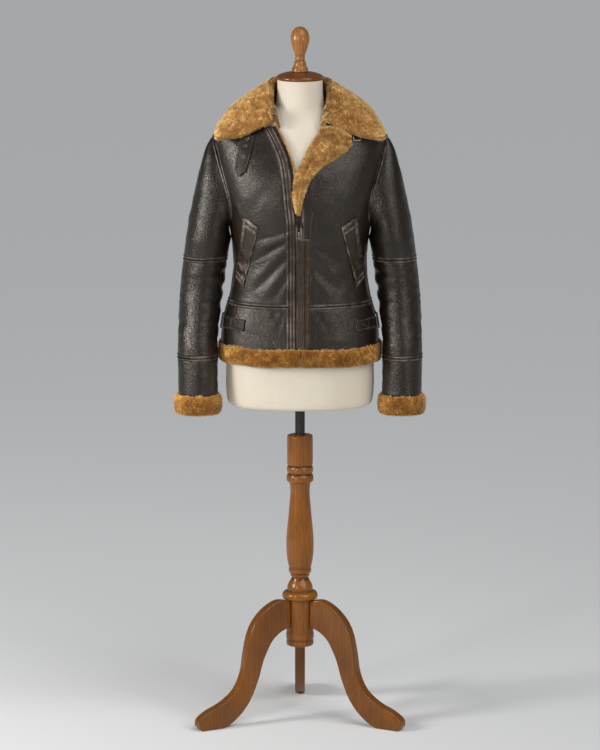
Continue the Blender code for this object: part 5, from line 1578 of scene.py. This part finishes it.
THROAT_SHARES = (0.0, 0.2, 0.4, 0.6, 0.84, 1.0)
THROAT_TAPER = (1.0, 1.0, 1.0, 0.95, 0.78, 0.12)
THROAT_RISE = 0.0016    # how far more the strap's free end stands away from the chest
THROAT_SEWN = 0.78      # share of its half width at which it is sewn
THROAT_PUFF, THROAT_DIP = 0.0005, 0.0010


def throat_points(along_share, across_share):
    """Places on the throat strap, by shares of its length and half width."""
    top, tip = np.array(THROAT_TOP), np.array(THROAT_TIP)
    along = unit(tip - top)
    across = np.array((-along[1], along[0]))
    half = THROAT_HALF * np.interp(along_share, THROAT_SHARES, THROAT_TAPER)
    spot = top + (tip - top) * along_share[..., None] + across * (half * across_share)[..., None]
    return spot[..., 0], spot[..., 1]


def build_throat_strap():
    rows, cols = ease_steps(0.096, 0.0020), ease_steps(0.030, 0.0016) * 2 - 1
    a, b = np.meshgrid(rows, cols, indexing="ij")
    x, z = throat_points(a, b)
    grid = on_front(x, z, STRAP_LIFT + THROAT_RISE * a ** 2 + TRIM)
    sewn = hump(np.abs(b), THROAT_SEWN, 0.07)
    laid("throat_strap", grid, TRIM, SHADED_STRAP_LEATHER, THROAT_PUFF - THROAT_DIP * sewn)
    t = np.linspace(0.03, 0.95, 50)
    lines = []
    for edge in (-THROAT_SEWN, THROAT_SEWN):
        x, z = throat_points(t, np.full_like(t, edge))
        lines.append(on_front(x, z, STRAP_LIFT - LAID_STITCH + THROAT_RISE * t ** 2 + TRIM))
    stitches("throat_stitches", lines)


# ---------------------------------------------------------------- hard pieces, modelled by hand

def deselect():
    if bpy.context.object and bpy.context.object.mode != "OBJECT":
        bpy.ops.object.mode_set(mode="OBJECT")
    bpy.ops.object.select_all(action="DESELECT")


def apply_all(ob):
    for modifier in list(ob.modifiers):
        bpy.ops.object.modifier_apply(modifier=modifier.name)


def apply_place():
    bpy.ops.object.transform_apply(location=True, rotation=True, scale=True)


def edit_all():
    """Edit the active piece with all of it selected."""
    bpy.ops.object.mode_set(mode="EDIT")
    bpy.ops.mesh.select_all(action="SELECT")


def end_edit():
    """Point all faces outward and go back to the object."""
    bpy.ops.mesh.select_all(action="SELECT")
    bpy.ops.mesh.normals_make_consistent(inside=False)
    bpy.ops.object.mode_set(mode="OBJECT")


def select_only(ob, kind, wanted):
    """In edit mode, select the verts or the faces for which the given test holds."""
    bm = bmesh.from_edit_mesh(ob.data)
    for part in getattr(bm, kind):
        part.select = wanted(part)
    if kind == "verts":
        bm.select_flush(True)
    bmesh.update_edit_mesh(ob.data)


def bevel(ob, width, segments=2, angle=40):
    add_modifier(ob, "BEVEL", width=width, segments=segments, limit_method="ANGLE",
                 angle_limit=math.radians(angle))


def add_modifier(ob, kind, **settings):
    modifier = ob.modifiers.new(kind.lower(), kind)
    for key, value in settings.items():
        setattr(modifier, key, value)


def settle(ob, name, material, smooth_angle=35.0):
    """Name a finished piece, give it its material and put its place into its mesh."""
    apply_all(ob)
    apply_place()
    bpy.ops.object.shade_smooth_by_angle(angle=math.radians(smooth_angle))
    ob.name = name
    ob.data.name = name
    ob.data.materials.clear()
    ob.data.materials.append(material)
    return ob


def shade_grooves(ob, profile):
    """Marks each ring of a turned piece by how deep it lies between the fuller rings near it, for painted
    shade in the grooves.
    """
    radii, heights = np.array(profile, dtype=float).T
    depth = np.zeros(len(radii))
    for i, (radius, z) in enumerate(zip(radii, heights)):
        above = radii[(heights > z) & (heights < z + GROOVE_REACH)]
        below = radii[(heights < z) & (heights > z - GROOVE_REACH)]
        if len(above) and len(below):
            depth[i] = min(above.max(), below.max()) - radius
    # how dark the painted groove shade is on each ring
    groove_shade = np.clip(depth / GROOVE_DEPTH, 0, 1)
    x, y, z = np.array([ob.location + vertex.co - AXIS for vertex in ob.data.vertices]).T[..., None]
    near = np.argmin(np.abs(heights - z) + 0.2 * np.abs(radii - np.hypot(x, y)), axis=1)
    add_value(ob.data, "groove_shade", groove_shade[near])


def turned(name, profile, material, steps=16, levels=2):
    """Turned piece: a circle extruded up ring by ring, each ring resized to the profile's radius."""
    deselect()
    # subdivision draws the ring in a little, so it starts that much wider
    wider = 3 / (2 + math.cos(math.tau / steps)) if levels else 1.0
    radius, z = profile[0][0] * wider, profile[0][1]
    bpy.ops.mesh.primitive_circle_add(vertices=steps, radius=radius, fill_type="NGON",
                                      location=(AXIS.x, AXIS.y, z))
    ob = bpy.context.object
    edit_all()
    for next_radius, next_z in [(r * wider, height) for r, height in profile[1:]]:
        bpy.ops.mesh.extrude_region_move(TRANSFORM_OT_translate={"value": (0, 0, next_z - z)})
        share = next_radius / radius
        bpy.ops.transform.resize(value=(share, share, 1), center_override=(AXIS.x, AXIS.y, next_z))
        radius, z = next_radius, next_z
    end_edit()
    shade_grooves(ob, profile)
    if levels:
        add_modifier(ob, "SUBSURF", levels=levels, render_levels=levels)
    return settle(ob, name, material, 50.0)


def build_stand():
    place(turned("turned_column", COLUMN_PROFILE, WOOD), "wood", "column", body="stand")
    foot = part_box("pole")[0].z
    tube = ((POLE_R * 0.9, foot), (POLE_R, foot + 0.0008), (POLE_R, 0.6), (POLE_R, POLE_TOP - 0.0008),
            (POLE_R * 0.9, POLE_TOP))
    place(turned("steel_pole", tube, STEEL, steps=48, levels=0), "dark_steel", "pole", body="pole")
    place(turned("turned_neck_cap", CAP_PROFILE, WOOD_DARK), "wood", "neck_cap")
    place(turned("turned_finial", FINIAL_PROFILE, WOOD_PALE), "wood", "finial")


def build_leg():
    """One leg along +X, extruded section by section down its curve."""
    deselect()
    sections = resample(LEG_SECTIONS, 37)
    sections[:, 3] = np.maximum(sections[:, 3], 0.0)
    sections = sections.tolist()
    top_r, top_z, _, low_z = sections[0]
    bpy.ops.mesh.primitive_plane_add(size=1, location=(top_r, 0, (top_z + low_z) / 2),
                                     rotation=(0, math.radians(90), 0))
    ob = bpy.context.object
    ob.scale = (top_z - low_z, LEG_THICK, 1)
    apply_place()
    edit_all()
    before = sections[0]
    for after in sections[1:]:
        up_step = (after[0] - before[0], 0, after[1] - before[1])
        low_step = (after[2] - before[2] - up_step[0], 0, after[3] - before[3] - up_step[2])
        bpy.ops.mesh.extrude_region_move(TRANSFORM_OT_translate={"value": up_step})
        bm = bmesh.from_edit_mesh(ob.data)
        end = [v for v in bm.verts if v.select]
        end.sort(key=lambda v: (v.co - Vector((after[0], v.co.y, after[1]))).length)
        for v in end[:2]:
            v.select = False
        bm.select_flush(False)
        for v in end[2:]:
            v.select = True
        bmesh.update_edit_mesh(ob.data)
        bpy.ops.transform.translate(value=low_step)
        bm = bmesh.from_edit_mesh(ob.data)
        bm.verts.ensure_lookup_table()
        for v in end:
            v.select = True
        bm.select_flush(True)
        bmesh.update_edit_mesh(ob.data)
        before = after
    end_edit()
    bevel(ob, 0.0042, 3, 50)
    apply_all(ob)
    return ob


def build_legs():
    leg = build_leg()
    for name, heading in LEG_HEADINGS.items():
        deselect()
        copy = link_new(name, leg.data.copy())
        copy.matrix_world = Matrix.Translation(AXIS) @ Matrix.Rotation(math.radians(heading), 4, "Z")
        copy.select_set(True)
        bpy.context.view_layer.objects.active = copy
        place(settle(copy, f"wooden_{name}", WOOD_LEGS, 30.0), "wood", name, body="stand")
    bpy.data.objects.remove(leg)


def frame_at(point, normal):
    """Frame with z along the normal and y as near up as it can be, at a point drawn round the axis."""
    z = Vector(normal).normalized()
    x = Vector((0, 0, 1)).cross(z).normalized()
    return Matrix.Translation(Vector(point) + AXIS) @ Matrix((x, z.cross(x), z)).transposed().to_4x4()


def build_buckle(name, node, width, height, bar, at):
    """Wire frame buckle: a plane inset and opened, given its thickness and rounded."""
    deselect()
    bpy.ops.mesh.primitive_plane_add(size=1)
    ob = bpy.context.object
    ob.scale = (width, height, 1)
    apply_place()
    edit_all()
    bpy.ops.mesh.inset(thickness=bar, depth=0)
    bpy.ops.mesh.delete(type="FACE")
    bpy.ops.object.mode_set(mode="OBJECT")
    add_modifier(ob, "SOLIDIFY", thickness=bar, offset=0)
    bevel(ob, bar * 0.30, 3)
    apply_all(ob)
    ob.matrix_world = at
    place(settle(ob, name, NICKEL, 60.0), "antique_metal", node)


# Width, height and bar of a buckle, and how far its middle lies from the leather.
SIDE_BUCKLE, SIDE_BUCKLE_LIFT = (0.020, 0.036, 0.0030), 0.0050
THROAT_BUCKLE, THROAT_BUCKLE_LIFT = (0.019, 0.017, 0.0022), 0.0022
BUCKLE_TURN = math.radians(9)       # the side straps' buckles, ahead of the side seams
THROAT_BUCKLE_AT = (0.1297, 1.392)


def build_buckles():
    for side, label in SIDES:
        phi = -BUCKLE_TURN if side > 0 else math.pi + BUCKLE_TURN
        at = frame_at(*on_body(np.array(phi), np.array(STRAP_Z), SIDE_BUCKLE_LIFT))
        build_buckle(f"strap_buckle_{label}", f"side_buckle_{label}", *SIDE_BUCKLE, at)
    at = frame_at(*on_front(*THROAT_BUCKLE_AT, THROAT_BUCKLE_LIFT))
    build_buckle("collar_buckle", "throat_buckle", *THROAT_BUCKLE, at)


EYELET_RADIUS = 0.0034
EYELET_WIRE = 0.0008
EYELET_PROUD = 0.0001


def build_eyelets():
    for number, share in enumerate(EYELETS, 1):
        x, z = throat_points(np.array(share), np.array(0.0))
        point, normal = on_front(x, z, STRAP_LIFT + EYELET_PROUD + THROAT_RISE * share ** 2 + TRIM)
        deselect()
        bpy.ops.mesh.primitive_circle_add(vertices=8, radius=EYELET_WIRE, location=(EYELET_RADIUS, 0, 0),
                                          rotation=(math.radians(90), 0, 0))
        ob = bpy.context.object
        apply_place()
        edit_all()
        bpy.ops.transform.resize(value=(1.0, 1.0, 0.75), center_override=(EYELET_RADIUS, 0, 0))
        bpy.ops.mesh.spin(steps=28, angle=math.tau, center=(0, 0, 0), axis=(0, 0, 1))
        bpy.ops.mesh.select_all(action="SELECT")
        bpy.ops.mesh.remove_doubles(threshold=0.00005)
        bpy.ops.mesh.normals_make_consistent(inside=False)
        bpy.ops.object.mode_set(mode="OBJECT")
        ob.matrix_world = frame_at(point, normal)
        place(settle(ob, f"eyelet_ring_{number}", NICKEL, 60.0), "antique_metal", f"eyelet_{number}")
        # a near-black disc inside the ring: painted shade in the hole
        deselect()
        bpy.ops.mesh.primitive_circle_add(vertices=20, radius=EYELET_RADIUS, fill_type="NGON")
        hole = bpy.context.object
        edit_all()
        bpy.ops.mesh.extrude_region_move(TRANSFORM_OT_translate={"value": (0, 0, 0.0003)})
        end_edit()
        hole.matrix_world = frame_at(point, normal)
        place(settle(hole, f"eyelet_hole_{number}", HOLE_SHADE, 30.0), "leather")


# ---------------------------------------------------------------- zip

TOOTH = (0.0030, 0.0011, 0.0013)
TOOTH_STEP = 0.0024
TAPE_WIDTH = 0.0062
TAPE_T = 0.0012
TAPE_SHORT = 0.0012     # how far the closed tape ends short of the fold
TAPE_CLOSING = (1.246, 0.014)   # just above the slider the tape's other half closes the gap: top and height


def build_zip():
    slider_low, slider_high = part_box("zip_slider")
    slider_z = (slider_low.z + slider_high.z) / 2
    z = np.linspace(slider_z, FRONT_TOP, 120)
    low_x = column_of(FRONT_EDGES, ZIP_EDGE, z) + SEAM
    gap = column_of(FRONT_EDGES, FOLD, z) - TAPE_SHORT - low_x
    closing = np.clip((TAPE_CLOSING[0] - z) / TAPE_CLOSING[1], 0, 1)
    width = TAPE_WIDTH + (gap - TAPE_WIDTH) * closing ** 2 * (3 - 2 * closing)
    tape, normal = on_front(low_x[:, None] + width[:, None] * np.linspace(0, 1, 6),
                            np.repeat(z[:, None], 6, axis=1), -TAPE_T)
    ob = shell("zip_tape_cloth", tape, normal, TAPE_T, [ZIP_CLOTH])
    place(ob, "antique_metal", "zip_tape")

    line = tape[:, 3] + normal[:, 3] * 0.0007
    gone = distance_along(line)
    at = np.arange(0.012, gone[-1] - 0.002, TOOTH_STEP)
    base = bmesh.new()
    bmesh.ops.create_cube(base, size=1.0)
    bmesh.ops.bevel(base, geom=list(base.edges), offset=0.18, segments=1, affect="EDGES")
    corners = np.array([v.co for v in base.verts]) * np.array(TOOTH)
    base.verts.index_update()
    loops = [[v.index for v in f.verts] for f in base.faces]
    base.free()
    out = unit(interpolated(at, gone, normal[:, 3]))
    ahead = ahead_of(at, gone, line, 0.001)
    points = interpolated(at, gone, line)[:, None] + sum(
        corners[:, k:k + 1] * way[:, None] for k, way in enumerate((np.cross(ahead, out), ahead, out)))
    faces = [[i + k * len(corners) for i in loop] for k in range(len(at)) for loop in loops]
    teeth = make_object("zip_teeth", points.reshape(-1, 3), faces, [ZIP_METAL])
    teeth.data.polygons.foreach_set("use_smooth", [False] * len(teeth.data.polygons))
    place(teeth, "antique_metal")


SLIDER_PLATE = 0.0055


def build_slider():
    low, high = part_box("zip_slider")
    size, centre = high - low, (low + high) / 2
    deselect()
    bpy.ops.mesh.primitive_cube_add(size=1, location=(centre.x, high.y - SLIDER_PLATE / 2, centre.z))
    ob = bpy.context.object
    ob.scale = (size.x, SLIDER_PLATE, size.z)
    apply_place()
    edit_all()
    bpy.ops.mesh.subdivide(number_cuts=4)

    def on_lug(face):
        mid = face.calc_center_median()
        beside = abs(abs(mid.x - centre.x) - size.x * 0.4) < size.x * 0.05
        return face.normal.y < -0.9 and beside and mid.z > centre.z - size.z * 0.15

    select_only(ob, "faces", on_lug)
    bpy.ops.mesh.extrude_region_move(TRANSFORM_OT_translate={"value": (0, SLIDER_PLATE - size.y, 0)})
    select_only(ob, "verts", lambda v: v.co.z < low.z + 0.0002)
    bpy.ops.transform.resize(value=(0.72, 1, 1), center_override=(centre.x, centre.y, low.z))
    bpy.ops.object.mode_set(mode="OBJECT")
    bevel(ob, 0.0004)
    place(settle(ob, "slider", ZIP_METAL, 40.0), "antique_metal", "zip_slider")


PULL_NECK = 0.0052      # width at the knuckle
PULL_BAR = 0.0021


def build_pull():
    """Pull tab with a long window, its knuckle between the slider's lugs."""
    low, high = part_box("zip_pull")
    size, centre = high - low, (low + high) / 2
    deselect()
    bpy.ops.mesh.primitive_plane_add(size=1, location=centre, rotation=(math.radians(90), 0, 0))
    ob = bpy.context.object
    ob.scale = (PULL_NECK, size.z, 1)
    apply_place()
    edit_all()
    bpy.ops.mesh.subdivide(number_cuts=1)
    select_only(ob, "verts", lambda v: v.co.z < centre.z + 0.001)
    bpy.ops.transform.resize(value=(size.x / PULL_NECK, 1, 1), center_override=tuple(centre))
    select_only(ob, "faces", lambda face: face.calc_center_median().z < centre.z)
    bpy.ops.mesh.inset(thickness=PULL_BAR, depth=0)
    bpy.ops.mesh.delete(type="FACE")
    bpy.ops.object.mode_set(mode="OBJECT")
    add_modifier(ob, "SOLIDIFY", thickness=size.y, offset=0)
    bevel(ob, 0.0005)
    place(settle(ob, "pull_tab", ZIP_METAL, 40.0), "antique_metal", "zip_pull", body="zip_pull")


# ---------------------------------------------------------------- dress form

FORM_AROUND = 144
FORM_SEAM_DEPTH, FORM_RADIUS = 0.0006, 0.13
FORM_GAP = 0.0012           # kept free between the form and the jacket's inside
FORM_SEAMS = (-60, -120, 60, 120, 0, 180)   # each side of the middle, front and back, and at each side


def build_form():
    phi = np.linspace(0, math.tau, FORM_AROUND, endpoint=False)
    rings = []

    def circle(radius, z):
        return at_level(radius * np.cos(phi), radius * np.sin(phi), z)

    for radius, z in ((BORE_R, POLE_TOP + SEAM), (BORE_R, FORM_HIP[0, 0]), (0.08, FORM_HIP[0, 0])):
        rings.append(circle(radius, z))
    for z in np.concatenate((np.linspace(0.7570, 0.7710, 8), np.linspace(0.780, 0.860, 12))):
        rings.append(at_level(*section(phi, *(column_of(FORM_HIP, c, z) for c in (1, 2, 3))), z))
    for z in np.linspace(0.870, 1.450, 60):
        level = np.full_like(phi, z)
        depth = float(column_of(FORM_BEHIND, 1, z)) + FORM_GAP
        rings.append(torso_smooth(phi, level) - slopes_normal(torso_smooth, phi, level) * depth)
    for z in np.linspace(1.458, 1.518, 14):
        rings.append(circle(float(column_of(FORM_NECK, 1, z)), z))
    grid = np.array(rings)
    # fine sewn lines of the cover
    for angle in FORM_SEAMS:
        away = (np.degrees(phi) - angle + 180) % 360 - 180
        grid[3:-14, :, :2] *= (1 - FORM_SEAM_DEPTH / FORM_RADIUS * hump(away, 0, 1.3))[None, :, None]
    rows = len(grid)
    faces = quads(rows, FORM_AROUND, True)
    faces.append(list(range(FORM_AROUND))[::-1])
    faces.append(list(range((rows - 1) * FORM_AROUND, rows * FORM_AROUND)))
    ob = make_object("cotton_form", grid.reshape(-1, 3), faces, [COTTON])
    point_outward(ob)
    ob.data.set_sharp_from_angle(angle=math.radians(40))
    place(ob, "canvas", "form")


# ---------------------------------------------------------------- floor, light and camera

def build_floor():
    deselect()
    bpy.ops.mesh.primitive_plane_add(size=160, location=(0, 20, 0))
    floor = bpy.context.object
    floor.name = "floor"
    material, _, shader = new_material("pale_floor", 0.9)
    shader.inputs["Base Color"].default_value = (0.72, 0.73, 0.74, 1)
    shader.inputs["Specular IOR Level"].default_value = 0.1
    floor.data.materials.append(material)


def aim(ob, direction):
    ob.rotation_mode = "QUATERNION"
    ob.rotation_quaternion = direction.to_track_quat("-Z", "Y")


def add_light(name, place_at, target, size, power, colour):
    data = bpy.data.lights.new(name, "AREA")
    data.shape = "RECTANGLE"
    data.size, data.size_y = size
    data.energy = power
    data.color = colour
    ob = link_new(name, data)
    ob.location = place_at
    aim(ob, Vector(target) - Vector(place_at))


def build_lights():
    chest = (0, AXIS.y, 1.10)
    add_light("window_left", (-2.7, -1.2, 1.75), (0, AXIS.y, 1.20), (0.8, 1.0), 66, (1.0, 0.985, 0.955))
    add_light("tall_left", (-1.9, -3.2, 1.60), chest, (0.45, 1.5), 30, (1.0, 0.985, 0.955))
    add_light("tall_right", (2.3, -2.7, 1.60), chest, (0.45, 1.4), 17, (1.0, 0.965, 0.91))
    data = bpy.data.lights.new("ceiling_glow", "SUN")
    data.energy = 1.75
    data.angle = math.radians(50)
    aim(link_new("ceiling_glow", data), Vector((-1.2, 1.4, -2.1)))
    world = bpy.data.worlds.new("studio")
    world.use_nodes = True
    background = world.node_tree.nodes["Background"]
    background.inputs["Color"].default_value = (0.86, 0.88, 0.90, 1)
    background.inputs["Strength"].default_value = 0.13
    bpy.context.scene.world = world
    bpy.context.scene.view_settings.view_transform = "Standard"


CAMERA_HEIGHT = 2.70
CAMERA_AWAY = 10.0
CAMERA_PITCH = math.radians(10.63)
CAMERA_LENS = 208.7


def build_camera():
    data = bpy.data.cameras.new("camera")
    data.lens = CAMERA_LENS
    data.sensor_width = 36.0
    data.clip_end = 200.0
    camera = link_new("camera", data)
    camera.location = (AXIS.x, AXIS.y - CAMERA_AWAY, CAMERA_HEIGHT)
    camera.rotation_euler = (math.radians(90) - CAMERA_PITCH, 0, 0)
    bpy.context.scene.camera = camera


# ---------------------------------------------------------------- build

build_camera()
build_lights()
build_floor()
build_stand()
build_legs()
build_form()
build_leather_body()
build_sleeves()
build_collar()
build_lapel()
build_hem()
build_cuffs()
build_opening_wool()
build_placket()
build_welts()
build_side_straps()
build_throat_strap()
build_body_stitches()
build_sleeve_stitches()
build_buckles()
build_eyelets()
build_zip()
build_slider()
build_pull()
